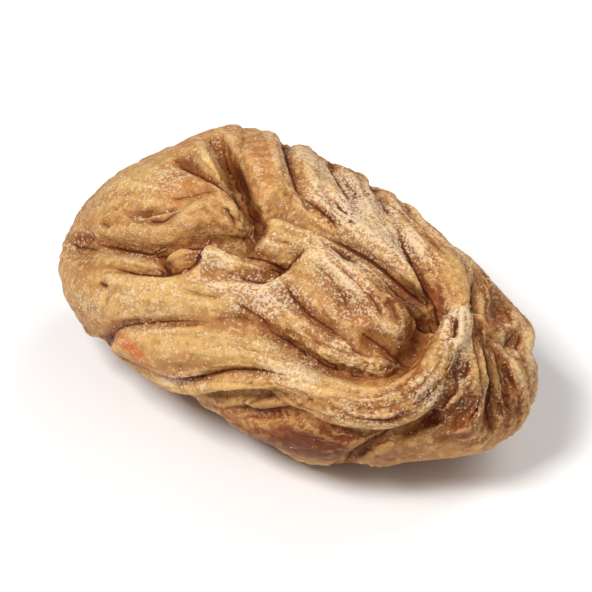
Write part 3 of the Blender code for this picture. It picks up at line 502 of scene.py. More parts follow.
def nearest_on(path, points, normals, reach):
    """The indices of the points within reach of the path, with distance, share along, side and offset."""
    near = np.flatnonzero(((points > path.min(0) - reach) & (points < path.max(0) + reach)).all(1))
    p, n = points[near], normals[near]
    distance, along, side = np.full(len(near), np.inf), np.zeros(len(near)), np.zeros(len(near))
    offset = np.zeros((len(near), 3))
    steps = np.linalg.norm(np.diff(path, axis=0), axis=1)
    start = np.concatenate([[0], np.cumsum(steps)])
    for i, (a, step) in enumerate(zip(path, np.diff(path, axis=0))):
        t = np.clip((p - a) @ step / (step @ step), 0, 1)
        off = p - a - t[:, None] * step
        far = np.linalg.norm(off, axis=1)
        closer = far < distance
        distance[closer] = far[closer]
        offset[closer] = off[closer]
        along[closer] = (start[i] + t[closer] * steps[i]) / start[-1]
        side[closer] = np.sign(np.einsum("ij,ij->i", off, np.cross(step, n)))[closer]
    keep = distance < reach
    return near[keep], distance[keep], along[keep], side[keep], offset[keep]


def end_share(crease, along):
    """The share of the crease's depth at this share of its length."""
    first, last = crease.ends
    return np.minimum(
        first + (1 - first) * smooth_step(along / END_FADE),
        last + (1 - last) * smooth_step((1 - along) / END_FADE),
    )


def seams(points, normals, creases, path_of):
    """How far off a crease's bottom each point is, in millimetres and below 0 on one side, and how dark the
    line at that bottom is."""
    off, dark = (np.full(len(points), value) for value in NO_SEAM)
    for crease in creases:
        path = path_of(smooth_path(crease.path, per_span=8))
        index, distance, along, side, _ = nearest_on(path, points, normals, SEAM_REACH)
        strength = end_share(crease, along) * min(1, crease.depth / SEAM_DEPTH)
        share = strength * (1 - (distance / SEAM_REACH) ** 2)
        more = share > dark[index]
        dark[index[more]] = share[more]
        off[index[more]] = (side * distance)[more] / MM
    return np.stack([off, dark], axis=1)


def groove(near, width, side):
    """The share of a crease's depth at this distance from its bottom, on this kind of side."""
    sharp = side.sharp * np.exp(-near / (side.sharp_reach * width))
    return sharp + side.soft * np.exp(-((near / (side.soft_reach * width)) ** 2))


def crease_moves(points, normals, creases, path_of):
    """How far the creases raise each point, and how they shift it sideways where a fold laps over."""
    raised, deep, shift = np.zeros(len(points)), np.zeros(len(points)), np.zeros_like(points)
    for crease in creases:
        width, depth = crease.width * MM, crease.depth * MM
        path = path_of(smooth_path(crease.path, per_span=8))
        index, distance, along, side, offset = nearest_on(path, points, normals, CREASE_REACH * width)
        fade = 1 - distance / (CREASE_REACH * width)
        share = end_share(crease, along)
        soft = GROOVE_ROUND * width
        near = np.hypot(distance, soft) - soft
        drop = groove(near, width, OPEN_SIDE)
        if crease.over:
            over = side == {"right": 1, "left": -1}[crease.over]
            drop = np.where(over, groove(near, width, LAPPED_SIDE), drop)
            rise = 1 - np.exp(-near / (LAPPED_SIDE.sharp_reach * width))
            lip = rise * np.exp(-near / (LAPPED_SIDE.soft_reach * width)) * fade * over
            raised[index] += LIP_SHARE * depth * share * lip
            lap = LAP_SHARE * depth * share * (distance / width) * np.exp(1 - distance / width) * fade * over
            shift[index] -= lap[:, None] * normalized(offset)
        drop = depth * share * drop * fade
        deep[index] = (deep[index] ** JOIN_POWER + drop**JOIN_POWER) ** (1 / JOIN_POWER)
    return raised - deep, shift


def roll_heights(points, normals):
    height = np.zeros(len(points))
    for roll in ROLLS:
        path = on_egg(smooth_path(roll.path))
        index, distance, along, _, _ = nearest_on(path, points, normals, max(roll.halves) * PIXEL)
        stops = np.linspace(0, 1, len(roll.heights))
        half = np.interp(along, stops, roll.halves) * PIXEL
        tall = np.interp(along, stops, roll.heights) * MM
        height[index] += tall * np.clip(1 - (distance / half) ** 2, 0, 1) ** ROLL_ROUNDNESS
    return height


def ellipse_gap(points, centre, half_sizes, turn):
    """How far each point is from an ellipse's centre in the drawn view, squared: 1 on the ellipse."""
    turn = math.radians(turn)
    middle = in_view(centre)
    right, up = points @ RIGHT - middle[0], points @ UP - middle[1]
    a = (right * math.cos(turn) + up * math.sin(turn)) / (half_sizes[0] * PIXEL)
    b = (up * math.cos(turn) - right * math.sin(turn)) / (half_sizes[1] * PIXEL)
    return a**2 + b**2


def seen_share(unit):
    """1 on the side that the drawn view shows, 0 where it can't be seen."""
    return smooth_step(0.5 + unit[:, 2] / SEEN_FADE)


def hidden_share(unit):
    """1 on the side that the drawn view doesn't show, 0 on the side that it does."""
    return smooth_step(0.5 - (unit[:, 2] + HIDDEN_EDGE) / HIDDEN_FADE)


def swell_heights(points, unit):
    height = np.zeros(len(points))
    for swell in SWELLS:
        gap = ellipse_gap(points, swell.centre, swell.half_sizes, swell.turn)
        height += swell.height * MM * np.exp(-gap)
    return height * seen_share(unit)


def zone_share(points, unit, name):
    """0 to 1: how far each point is inside the zones of this name."""
    share = np.zeros(len(points))
    for x, y, half_x, half_y, turn, strength in ZONES[name]:
        gap = ellipse_gap(points, (x, y), (half_x, half_y), turn)
        share = np.maximum(share, strength * np.exp(-(gap**1.5)))
    return share * seen_share(unit)


def cover(points, unit, name):
    """How far each point is covered: as the zones say, and in patches on the hidden side."""
    return zone_share(points, unit, name) + hidden_share(unit) * patchy(points, HIDDEN_PATCHES[name])


def foot_share(points):
    """0 where the table flattens the underside, 1 above it."""
    return smooth_step((points[:, 2] + FOOT_BELOW_MIDDLE) / FOOT_FADE)


def poles():
    return unit_of_pixels(np.array([EYE, NECK_TIP]))


def pleat_heights(unit):
    """Long pleats that run round the hidden side from the eye to the neck."""
    eye, neck = poles()
    axis = (neck - eye) / np.linalg.norm(neck - eye)
    out = np.array([0.0, 0.0, 1.0]) - axis[2] * axis
    out /= np.linalg.norm(out)
    spoke = unit - eye
    turn = np.arctan2(spoke @ np.cross(axis, out), spoke @ out)
    wander, strength = noise_at(unit * PLEAT_BENDS), noise_at(unit * PLEAT_PATCHES + 7)
    phase = PLEATS * turn / 2 + PLEAT_WANDER * wander + PLEAT_JITTER * strength
    valley = np.exp(-np.abs(np.sin(phase)) / PLEAT_SHARPNESS)
    down = valley * np.clip(0.65 + 0.9 * strength, 0.1, 1.1)
    return PLEAT_DEPTH * (PLEAT_CREST * (1 - valley) - down)


def outer_products(vectors):
    return np.einsum("ij,ik->ijk", vectors, vectors).reshape(-1, 9)


def grain_lines(points, unit):
    """The direction of the skin's grain at each point: along the nearest creases, else from eye to neck."""
    eye, neck = poles()
    away, back = unit - eye, unit - neck
    run = away / np.sum(away**2, axis=1)[:, None] - back / np.sum(back**2, axis=1)[:, None]
    step = normalized(run - np.sum(run * unit, axis=1)[:, None] * unit)
    general = normalized(body_point(normalized(unit + 0.01 * step)) - body_point(unit))
    paths = [on_egg(smooth_path(crease.path, per_span=3)) for crease in CREASES + NECK_CREASES]
    middles = np.vstack([(path[1:] + path[:-1]) / 2 for path in paths])
    spread = outer_products(np.vstack([normalized(np.diff(path, axis=0)) for path in paths]))
    total = GRAIN_GENERAL * outer_products(general)
    for block in np.array_split(np.arange(len(points)), 1 + len(points) // 20000):
        gap = np.sum(points[block] ** 2, 1)[:, None] - 2 * points[block] @ middles.T + np.sum(middles**2, 1)
        total[block] += np.exp(-gap / (2 * GRAIN_REACH**2)) @ spread
    _, vectors = np.linalg.eigh(total.reshape(-1, 3, 3))
    return vectors[:, :, 2]


def kd_tree(places):
    tree = kdtree.KDTree(len(places))
    for index, place in enumerate(places):
        tree.insert(place, index)
    tree.balance()
    return tree


def drawn_out(values, lines, ahead, behind, steps):
    """The values, spread along the grain by that many steps each way."""
    total = values.copy()
    for way in (1, -1):
        index, sign = np.arange(len(values)), np.full(len(values), way)
        for _ in range(steps):
            reached = np.where(sign > 0, ahead[index], behind[index])
            sign = np.where(np.einsum("ij,ij->i", lines[index], lines[reached]) < 0, -sign, sign)
            index = reached
            total += values[index]
    return GRAIN_SPREAD * total / total.std()


def mesh_arrays(mesh):
    """The vertices' places and normals."""
    places, normals = np.empty(len(mesh.vertices) * 3), np.empty(len(mesh.vertices) * 3)
    mesh.vertices.foreach_get("co", places)
    mesh.vertices.foreach_get("normal", normals)
    return places.reshape(-1, 3), normals.reshape(-1, 3)


def set_places(mesh, places):
    mesh.vertices.foreach_set("co", places.ravel())
    mesh.update()


def in_scene(name, data):
    """A new object of this name in the scene, which holds this data."""
    obj = bpy.data.objects.new(name, data)
    bpy.context.scene.collection.objects.link(obj)
    return obj


def mesh_of(obj):
    """The object's evaluated mesh, in place of the object."""
    bpy.context.view_layer.update()
    graph = bpy.context.evaluated_depsgraph_get()
    mesh = bpy.data.meshes.new_from_object(obj.evaluated_get(graph))
    bpy.data.objects.remove(obj)
    return mesh


def egg():
    """The egg with its lumps, pleats, rolls, swells and creases, and its vertices' places on the seams."""
    bpy.ops.mesh.primitive_ico_sphere_add(subdivisions=SPHERE_CUTS, radius=1)
    obj = bpy.context.object
    unit = normalized(mesh_arrays(obj.data)[0])
    set_places(obj.data, body_point(unit))
    points, normals = mesh_arrays(obj.data)
    hidden = hidden_share(unit)
    height = (LUMPS_SEEN + (1 - LUMPS_SEEN) * hidden) * LUMP_HEIGHT * noise_at(points / LUMP_SIZE)
    height += hidden * foot_share(points) * pleat_heights(unit)
    height += roll_heights(points, normals) + swell_heights(points, unit)
    drop, shift = crease_moves(points, normals, CREASES, on_egg)
    lines = seams(points, normals, [crease for crease in CREASES if crease.depth >= SEAM_LEAST], on_egg)
    set_places(obj.data, points + normals * (height + drop)[:, None] + shift)
    return obj, lines


def neck():
    """The neck as a round bar that lies on the fruit and tapers to its free, cut end."""
    curve = bpy.data.curves.new("neck", "CURVE")
    curve.dimensions = "3D"
    curve.bevel_depth = 1.0
    curve.bevel_resolution = 6
    curve.use_fill_caps = True
    stations = []
    for pixel, radius, lift in (*NECK, NECK_FREE_END):
        on_skin = on_egg(np.array([pixel]))[0]
        stations.append([*(on_skin + lift * MM * TOWARD), radius * MM])
    stations = smooth_path(stations, per_span=4)
    spline = curve.splines.new("POLY")
    spline.points.add(len(stations) - 1)
    for point, (x, y, z, radius) in zip(spline.points, stations):
        point.co = (x, y, z, 1)
        point.radius = radius
    mesh = mesh_of(in_scene("neck", curve))
    bm = bmesh.new()
    bm.from_mesh(mesh)
    bmesh.ops.remove_doubles(bm, verts=bm.verts, dist=1e-6)
    bmesh.ops.recalc_face_normals(bm, faces=bm.faces)
    bm.to_mesh(mesh)
    bm.free()
    return mesh


def drop_scraps(mesh):
    """Leaves only the largest connected piece of the mesh."""
    bm = bmesh.new()
    bm.from_mesh(mesh)
    left, pieces = set(bm.verts), []
    while left:
        piece, edge = set(), {left.pop()}
        while edge:
            piece |= edge
            edge = {e.other_vert(v) for v in edge for e in v.link_edges} - piece
        left -= piece
        pieces.append(piece)
    pieces.sort(key=len)
    for piece in pieces[:-1]:
        bmesh.ops.delete(bm, geom=list(piece), context="VERTS")
    bm.to_mesh(mesh)
    bm.free()


def joined(obj, mesh):
    """The object and the mesh as one evenly meshed body."""
    bm = bmesh.new()
    bm.from_mesh(obj.data)
    bm.from_mesh(mesh)
    bm.to_mesh(obj.data)
    bm.free()
    even = obj.modifiers.new("even", "REMESH")
    even.mode = "VOXEL"
    even.voxel_size = VOXEL
    mesh = mesh_of(obj)
    drop_scraps(mesh)
    return mesh


def seen_path(tree, pixels):
    """The places of a mesh that show at these pixels of the drawn view."""
    starts = in_plane(pixels) + 2 * SEEN_WIDTH * TOWARD
    hits = [tree.ray_cast(Vector(start), Vector(-TOWARD))[0] for start in starts]
    return np.array([hit for hit in hits if hit is not None])


def crease_seen(mesh, creases):
    """Presses in the creases where they show in the drawn view, and returns the vertices' places on their
    seams."""
    points, normals = mesh_arrays(mesh)
    tree = BVHTree.FromPolygons(points.tolist(), [face.vertices[:] for face in mesh.polygons])
    drop, shift = crease_moves(points, normals, creases, lambda path: seen_path(tree, path))
    set_places(mesh, points + normals * drop[:, None] + shift)
    return seams(points, normals, creases, lambda path: seen_path(tree, path))


def as_creases(rows, depth_from, gain=1.0):
    """Hairlines as creases, with this entry of each row times the gain as their depth."""
    return [Crease("", "", gain * row[depth_from], HAIRLINE_WIDTH, HAIRLINE_ENDS, row[-1]) for row in rows]


def in_plane(pixels):
    """These pixels' places in the plane through the egg's middle that the drawn view is seen against."""
    right, up = in_view(pixels)
    return right[:, None] * RIGHT + up[:, None] * UP


def crease_hairlines(mesh):
    """Presses in the hairlines as the drawn view shows them. Returns the vertices' places on them, and how
    close each vertex is to a lit, sugared edge, where a highlight is painted."""
    points, normals = mesh_arrays(mesh)
    flat, facing = points - (points @ TOWARD)[:, None] * TOWARD, np.tile(TOWARD, (len(points), 1))
    seen = smooth_step((normals @ TOWARD - FACING_LEAST) / FACING_FADE)
    drop, _ = crease_moves(flat, facing, as_creases(HAIRLINES, 0), in_plane)
    set_places(mesh, points + normals * (drop * seen)[:, None])
    hairs = seams(flat, facing, as_creases(HAIRLINES, 1, HAIRLINE_DARKNESS * SEAM_DEPTH), in_plane)
    edges = seams(flat, facing, as_creases(LIT_AND_SUGARED_EDGES, 0, SEAM_DEPTH), in_plane)
    hairs[:, 1] *= seen
    return hairs, edges[:, 1] * seen


def darker(one, other):
    """Of two places on seams, the one on the darker line."""
    return np.where((other[:, 1] > one[:, 1])[:, None], other, one)


def carried(values, places, points):
    """For each point, the values of the places nearest to it, or those of no seam where none is near."""
    tree = kd_tree(places)
    result = np.tile(NO_SEAM, (len(points), 1))
    for row, point in enumerate(points):
        found = [(index, gap) for _, index, gap in tree.find_n(point, 3) if gap < VOXEL]
        if found:
            share = np.array([1 / (gap + 0.05 * MM) for _, gap in found])
            result[row] = share @ values[[index for index, _ in found]] / share.sum()
    return result


def spread_out(mesh, values, rounds):
    """The vertices' values, each drawn halfway to the mean of its neighbours' that many times."""
    ends = np.empty(2 * len(mesh.edges), np.int32)
    mesh.edges.foreach_get("vertices", ends)
    one, other = ends.reshape(-1, 2).T
    count = len(values)
    many = np.bincount(ends, minlength=count)
    columns = []
    for column in values.T:
        for _ in range(rounds):
            total = np.bincount(one, column[other], count) + np.bincount(other, column[one], count)
            column = (column + total / many) / 2
        columns.append(column)
    return np.stack(columns, axis=1)


def hollows(mesh, rounds_near, rounds_far, unit_depth):
    """How far each vertex lies below the mean surface round it: above 0 in a hollow, below on a crest."""
    points, normals = mesh_arrays(mesh)
    near = spread_out(mesh, points, rounds_near)
    far = spread_out(mesh, near, rounds_far)
    return np.einsum("ij,ij->i", far - near, normals) / unit_depth


def add_wrinkles(mesh, lines):
    """Presses the wrinkles and the seeds' bumps into the skin, and returns how far each vertex is in a
    wrinkle and in a folded place."""
    points, normals = mesh_arrays(mesh)
    unit = unit_of(points)
    folded = np.maximum(zone_share(points, unit, "folded"), hidden_share(unit))
    folded *= patchy(points, FOLDED_PATCHES)
    tree = kd_tree(points)
    ahead, behind = (
        np.array([tree.find(place)[1] for place in points + way * GRAIN_STEP * lines]) for way in (1, -1)
    )
    height, wrinkled = np.zeros(len(points)), np.zeros(len(points))
    for wrinkle in WRINKLES:
        grain = noise_at(points / wrinkle.width + wrinkle.seed)
        grain = drawn_out(grain, lines, ahead, behind, wrinkle.steps)
        share = wrinkle.plain + (1 - wrinkle.plain) * folded
        valley = np.exp(-np.abs(grain) / wrinkle.valley)
        height += wrinkle.height * share * (WRINKLE_CREST * grain - valley)
        wrinkled = np.maximum(wrinkled, share * valley)
    size, tall, seed = SEED_LUMPS
    height += tall * noise_at(points / size + seed)
    set_places(mesh, points + normals * (height * foot_share(points))[:, None])
    return wrinkled, folded


def set_values(mesh, name, values, kind="FLOAT", key="value"):
    attribute = mesh.attributes.new(name, kind, "POINT")
    attribute.data.foreach_set(key, np.asarray(values, np.float32).ravel())


def fruit():
    """The fruit's mesh, with what its material reads, about the middle of the egg."""
    body, body_lines = egg()
    body_places = mesh_arrays(body.data)[0]
    mesh = joined(body, neck())
    body_lines = carried(body_lines, body_places, mesh_arrays(mesh)[0])
    lines_at = darker(body_lines, crease_seen(mesh, NECK_CREASES))
    set_places(mesh, spread_out(mesh, mesh_arrays(mesh)[0], EASING))
    hairs, edges = crease_hairlines(mesh)
    lines_at = darker(spread_out(mesh, lines_at, SEAM_EASING), hairs)
    points = mesh_arrays(mesh)[0]
    lines = grain_lines(points, unit_of(points))
    broad = hollows(mesh, *BROAD_HOLLOW)
    wrinkled, folded = add_wrinkles(mesh, lines)
    points = mesh_arrays(mesh)[0]
    unit = unit_of(points)
    covers = {name: cover(points, unit, name) for name in HIDDEN_PATCHES}
    juice = zone_share(points, unit, "juice")
    rise = smooth_step((points[:, 2] + FOOT_BELOW_MIDDLE - SUGAR_CLEARANCE) / SUGAR_CLEARANCE)
    sugar = rise * (SUGAR_ANYWHERE + covers["bloom"] + edges) * patchy(points, SUGAR_PATCHES)
    on_line = lines_at[:, 1] * np.exp(-((lines_at[:, 0] / LINE_WIDTH) ** 2))
    values = {
        "seam": lines_at[:, 0],
        "dark": lines_at[:, 1],
        "edge": edges,
        "wrinkled": wrinkled,
        "folded": folded,
        "fine_hollow": hollows(mesh, *FINE_HOLLOW),
        "broad_hollow": broad,
        "sugar": sugar * np.clip(1 - 1.5 * on_line, 0, 1) * (1 - 0.7 * juice),
        "juice": juice,
        **covers,
    }
    for name, value in values.items():
        set_values(mesh, name, value)
    set_values(mesh, "grain", lines, "FLOAT_VECTOR", "vector")
    return mesh


def set_down(mesh):
    """Moves the mesh onto the table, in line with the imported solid. Returns where the egg's middle is now."""
    points = mesh_arrays(mesh)[0]
    points[:, 2] = np.maximum(points[:, 2] + FOOT_BELOW_MIDDLE, 0)
    low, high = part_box("dried_fig")
    middle = (np.array(low) + np.array(high))[:2] / 2
    offset = middle - (points.min(0) + points.max(0))[:2] / 2
    points[:, :2] += offset
    set_places(mesh, points)
    return Vector((*offset, FOOT_BELOW_MIDDLE))


class Tree:
    """Adds nodes to a node tree, with their inputs set or linked in the same call."""

    def __init__(self, tree):
        self.tree = tree

    def feed(self, socket, value):
        if isinstance(value, bpy.types.NodeSocket):
            self.tree.links.new(value, socket)
        else:
            socket.default_value = value

    def add(self, kind, inputs=None, **settings):
        node = self.tree.nodes.new(kind)
        for name, value in settings.items():
            setattr(node, name, value)
        for key, value in (inputs or {}).items():
            self.feed(node.inputs[key], value)
        return node

    def math(self, operation, a, b=0.0, c=0.0):
        return self.add("ShaderNodeMath", {0: a, 1: b, 2: c}, operation=operation).outputs[0]

    def total(self, start, *parts):
        """The start plus each part's value times its weight."""
        for value, weight in parts:
            start = self.math("MULTIPLY_ADD", value, weight, start)
        return start

    def product(self, first, *others):
        for other in others:
            first = self.math("MULTIPLY", first, other)
        return first

    def scaled(self, vector, scale, start=(0.0, 0.0, 0.0)):
        """The vector times the scale, reckoned from the start."""
        inputs = {0: vector, 1: scale, 2: start}
        return self.add("ShaderNodeVectorMath", inputs, operation="MULTIPLY_ADD").outputs[0]

    def ramp(self, value, low, high, to_low=0.0, to_high=1.0, kind="SMOOTHSTEP"):
        """The value between low and high, brought to between to_low and to_high."""
        inputs = {"Value": value, "From Min": low, "From Max": high, "To Min": to_low, "To Max": to_high}
        return self.add("ShaderNodeMapRange", inputs, interpolation_type=kind).outputs[0]

    def mix(self, share, under, over):
        """One colour with this share of another laid over it."""
        return self.add("ShaderNodeMix", {0: share, 6: under, 7: over}, data_type="RGBA").outputs[2]

    def attribute(self, name, output="Fac"):
        return self.add("ShaderNodeAttribute", attribute_name=name).outputs[output]

    def cloud(self, scale, detail=3.0):
        """Noise on the object, this many lumps to the metre."""
        place = self.add("ShaderNodeTexCoord").outputs["Object"]
        return self.add("ShaderNodeTexNoise", {"Vector": place, "Scale": scale, "Detail": detail}).outputs[0]


def node_group(name, vectors, values, result):
    """A shader node group that takes these vectors and values and gives this result, with its tree, the
    sockets that it reads and those that it gives back."""
    group = bpy.data.node_groups.new(name, "ShaderNodeTree")
    for label in vectors:
        group.interface.new_socket(label, in_out="INPUT", socket_type="NodeSocketVector")
    for label, value in values.items():
        group.interface.new_socket(label, in_out="INPUT", socket_type="NodeSocketFloat").default_value = value
    group.interface.new_socket(result, in_out="OUTPUT", socket_type="NodeSocketFloat")
    given, back = group.nodes.new("NodeGroupInput"), group.nodes.new("NodeGroupOutput")
    return group, Tree(group), given.outputs, back.inputs


def new_material(name, constants):
    """A material with these constants in its shader, as the material, its tree and the shader's inputs."""
    material = bpy.data.materials.new(name)
    material.use_nodes = True
    inputs = material.node_tree.nodes["Principled BSDF"].inputs
    for label, value in constants.items():
        inputs[label].default_value = value
    return material, Tree(material.node_tree), inputs


GRAIN_TAPS = (-0.4, -0.2, 0.0, 0.2, 0.4)  # places along the length that are averaged, as shares of it
GRAIN_CONTRAST = 2.0


def along_grain_group():
    """Noise drawn out along the skin's grain: Width across it, Length along it, in metres."""
    values = {"Width": 1.0 * MM, "Length": 5.0 * MM, "Seed": 0.0}
    group, tree, given, back = node_group("noise along the grain", ("Position", "Grain"), values, "Value")
    scale = tree.math("DIVIDE", 1.0, given["Width"])
    spots = []
    for tap in GRAIN_TAPS:
        place = tree.scaled(given["Grain"], tree.product(given["Length"], tap), given["Position"])
        inputs = {"Vector": place, "W": given["Seed"], "Scale": scale, "Detail": 1.0}
        spots.append(tree.add("ShaderNodeTexNoise", inputs, noise_dimensions="4D").outputs[0])
    middle = 0.5 - 0.5 * GRAIN_CONTRAST
    tree.feed(back["Value"], tree.total(middle, *((spot, GRAIN_CONTRAST / len(spots)) for spot in spots)))
    return group


def sugar_dust_group():
    """Specks of sugar: a mask of small round grains this far apart, more of them where Amount is high."""
    values = {"Spacing": 0.6 * MM, "Amount": 0.3, "Grain": 0.3}
    group, tree, given, back = node_group("sugar dust", ("Position",), values, "Mask")
    scale = tree.math("DIVIDE", 1.0, given["Spacing"])
    cells = tree.add("ShaderNodeTexVoronoi", {"Vector": given["Position"], "Scale": scale}).outputs
    pick = tree.add("ShaderNodeSeparateColor", {"Color": cells["Color"]}).outputs
    chosen = tree.math("LESS_THAN", pick[0], given["Amount"])
    radius = tree.product(tree.total(0.5, (pick[1], 0.6)), given["Grain"])
    inside = tree.math("SUBTRACT", radius, cells["Distance"])
    tree.feed(back["Mask"], tree.product(tree.ramp(inside, 0.0, 0.12), chosen))
    return group


def srgb(*shown):
    """A colour given as it looks on a screen, 0 to 255, as the linear colour that the shader takes."""
    return (*(((c / 255 + 0.055) / 1.055) ** 2.4 if c > 10 else c / 255 / 12.92 for c in shown), 1.0)


SKIN = {
    # Golden skin, also laid on as painted light
    "gold": srgb(204, 162, 96),
    "tan": srgb(186, 137, 80),
    # Brown skin, also laid in the broad hollows as painted shade
    "brown": srgb(152, 97, 46),
    # Russet skin, also laid in hollows, wrinkles and beside creases as painted shade
    "russet": srgb(116, 50, 12),
    "amber": srgb(190, 94, 30),
    # Near-black brown for the creases' dark lines and the painted deep shade
    "cleft": srgb(62, 22, 5),
    # Pale skin, also laid on crests and lit edges as a painted highlight
    "crest": srgb(220, 175, 108),
    "bloom": srgb(222, 201, 176),
    "dust": srgb(236, 216, 184),
}
SKIN_SHADER = {
    "Specular IOR Level": 0.2,
    "Subsurface Weight": 0.12,
    "Subsurface Radius": (1.0, 0.45, 0.2),
    "Subsurface Scale": 1.2 * MM,
}
LINE_DARKNESS = 0.9  # how much of the skin's colour a crease's dark line hides: painted shade at the crease's bottom, over darker skin


def skin_material(along_grain, sugar_dust):
    material, tree, shader = new_material("dried fig skin", SKIN_SHADER)
    place = tree.add("ShaderNodeTexCoord").outputs["Object"]
    grain = tree.attribute("grain", "Vector")

    def group(node_tree, inputs):
        return tree.add("ShaderNodeGroup", {"Position": place, **inputs}, node_tree=node_tree).outputs[0]

    def fibres(width, length, seed):
        return group(along_grain, {"Grain": grain, "Width": width, "Length": length, "Seed": seed})

    streak = fibres(1.6 * MM, 9 * MM, 3.0)
    thread = fibres(0.5 * MM, 5 * MM, 8.0)
    hair = fibres(0.3 * MM, 3 * MM, 21.0)
    names = "gold amber russet juice bloom edge folded wrinkled fine_hollow broad_hollow dark seam"
    read = {name: tree.attribute(name) for name in names.split()}
    folded = tree.ramp(read["folded"], 0.1, 0.9, 0.25, 1.0)
    patches = tree.cloud(1000.0, 4.0)

    # A crease's dark line, painted shade at its bottom over darker skin, and painted shade to each side of it
    off = tree.math("ABSOLUTE", read["seam"])
    strength = tree.ramp(read["dark"], 0.05, 0.9, kind="LINEAR")
    line = tree.product(tree.ramp(tree.total(off, (read["dark"], -0.10)), 0.10, -0.06), strength)

    # Golden where the skin is full, with painted light on some places that the lamps leave in shade; browner in
    # streaks along the folds; paler on crests, as a painted highlight; and darker in the hollows, wrinkles,
    # clefts and under the fruit, as painted shade over somewhat darker skin. Each coat lies over those before
    # it: its paint, how much of it at most, what shows it, between which two values of that it comes in, and
    # what else it is held to.
    coats = (
        # Golden skin, with painted light on places left in shade
        ("gold", 0.85, read["gold"], 0.0, 1.0),
        ("russet", 0.30, streak, 0.48, 0.30),
        ("russet", 0.72, thread, 0.50, 0.32, folded),
        ("amber", 0.28, tree.cloud(420.0), 0.56, 0.72),
        ("brown", 0.40, tree.cloud(1500.0, 4.0), 0.50, 0.36),
        ("crest", 0.50, tree.cloud(900.0, 5.0), 0.50, 0.62),
        ("brown", 0.40, tree.cloud(600.0, 5.0), 0.47, 0.36),
        ("amber", 1.0, read["amber"], 0.0, 1.0, tree.ramp(patches, 0.36, 0.56, 0.25, 1.0)),
        # Russet skin, with painted shade in its zones
        ("russet", 1.0, read["russet"], 0.0, 1.0, tree.ramp(patches, 0.36, 0.56, 0.6, 1.0)),
        # Painted highlight on crests
        ("crest", 0.45, read["fine_hollow"], -0.2, -1.0),
        # Painted shade in the fine and broad hollows
        ("russet", 0.80, read["fine_hollow"], 0.3, 1.6),
        ("brown", 0.6, read["broad_hollow"], -0.1, 0.6),
        ("russet", 0.8, read["broad_hollow"], 0.3, 1.2),
        # Darker in the wrinkles' valleys: painted shade over darker skin
        ("russet", 0.75, read["wrinkled"], 0.4, 0.95),
        ("tan", 0.55, thread, 0.52, 0.70, folded),
        # Painted deep shade
        ("cleft", 1.0, read["juice"], 0.2, 0.9, tree.ramp(patches, 0.34, 0.60, 1.0, 0.6)),
        # Painted highlight along the lit edges of folds
        ("crest", 0.5, read["edge"], 0.2, 0.9),
        # Painted shade to each side of a crease's line
        ("russet", 0.55, off, 0.75, 0.05, strength),
    )
    colour = tree.mix(tree.ramp(tree.cloud(130.0), 0.35, 0.65), SKIN["brown"], SKIN["tan"])
    for paint, most, shown_by, low, high, *held_to in coats:
        share = tree.product(tree.ramp(shown_by, low, high, 0.0, most), *held_to)
        colour = tree.mix(share, colour, SKIN[paint])
    # The creases' dark lines: painted shade over darker skin
    colour = tree.mix(tree.product(line, LINE_DARKNESS), colour, SKIN["cleft"])

    # Sugar: a powder that clings in patches, and larger specks
    cling = tree.total(
        -0.5, (tree.cloud(330.0), 1.2), (read["bloom"], 0.9), (read["edge"], 0.6), (read["russet"], -0.35),
        (read["juice"], -1.0), (line, -1.5), (tree.ramp(read["fine_hollow"], 0.3, -1.2, -0.10, 0.30), 1.0),
    )
    bar = tree.total(0.64, (cling, -0.20))
    powder = tree.ramp(tree.math("SUBTRACT", tree.cloud(3400.0, 4.0), bar), -0.02, 0.07)
    amount = tree.total(0.20, (cling, 0.5))
    specks = group(sugar_dust, {"Spacing": 0.36 * MM, "Amount": amount, "Grain": 0.36})
    dust = tree.mix(tree.ramp(read["bloom"], 0.0, 1.25, kind="LINEAR"), SKIN["dust"], SKIN["bloom"])
    colour = tree.mix(tree.product(powder, tree.ramp(read["bloom"], 0.0, 1.0, 0.40, 0.62)), colour, dust)
    tree.feed(shader["Base Color"], tree.mix(tree.product(specks, 0.42), colour, SKIN["dust"]))

    # Waxy where bare, dry where the sugar lies
    dry = tree.math("MAXIMUM", powder, specks)
    tree.feed(shader["Roughness"], tree.ramp(dry, 0.0, 0.8, 0.55, 0.85, kind="LINEAR"))

    # Relief finer than the mesh: hair-thin wrinkles along the grain, pores, and the sugar's own height
    height = tree.total(
        0.0, (hair, 0.35), (thread, 0.8), (tree.cloud(2600.0), 0.45), (powder, 0.16), (specks, 0.35),
        (line, -0.7),
    )
    bump = tree.add("ShaderNodeBump", {"Height": height, "Strength": 0.9, "Distance": 0.2 * MM})
    tree.feed(shader["Normal"], bump.outputs[0])
    return material


fruit_mesh = fruit()
egg_middle = set_down(fruit_mesh)
fruit_mesh.name = "fig skin"
fruit_mesh.materials.append(skin_material(along_grain_group(), sugar_dust_group()))
fruit_mesh.shade_smooth()
fig_skin = in_scene("fig_skin", fruit_mesh)
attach(fig_skin, "root")
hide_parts("dried_fig")

# The sugar: grains that came out of the flesh and dried on the skin as pale crystals, up to a fifth of a
# millimetre across. They sit where the bloom is thickest, stuck on by their own syrup.

SUGAR_SOCKETS = {
    "Density": 2.3e6,  # crystals per square metre, where the mesh's `sugar` is 1
    "Smallest": 0.07 * MM,
    "Largest": 0.22 * MM,
    "Seed": 4,
}
SYRUP, SUGAR = srgb(198, 156, 106), srgb(240, 216, 182)
SUGAR_SHADER = {"Subsurface Weight": 0.2, "Subsurface Radius": (1.0, 0.8, 0.6), "Subsurface Scale": 0.3 * MM}


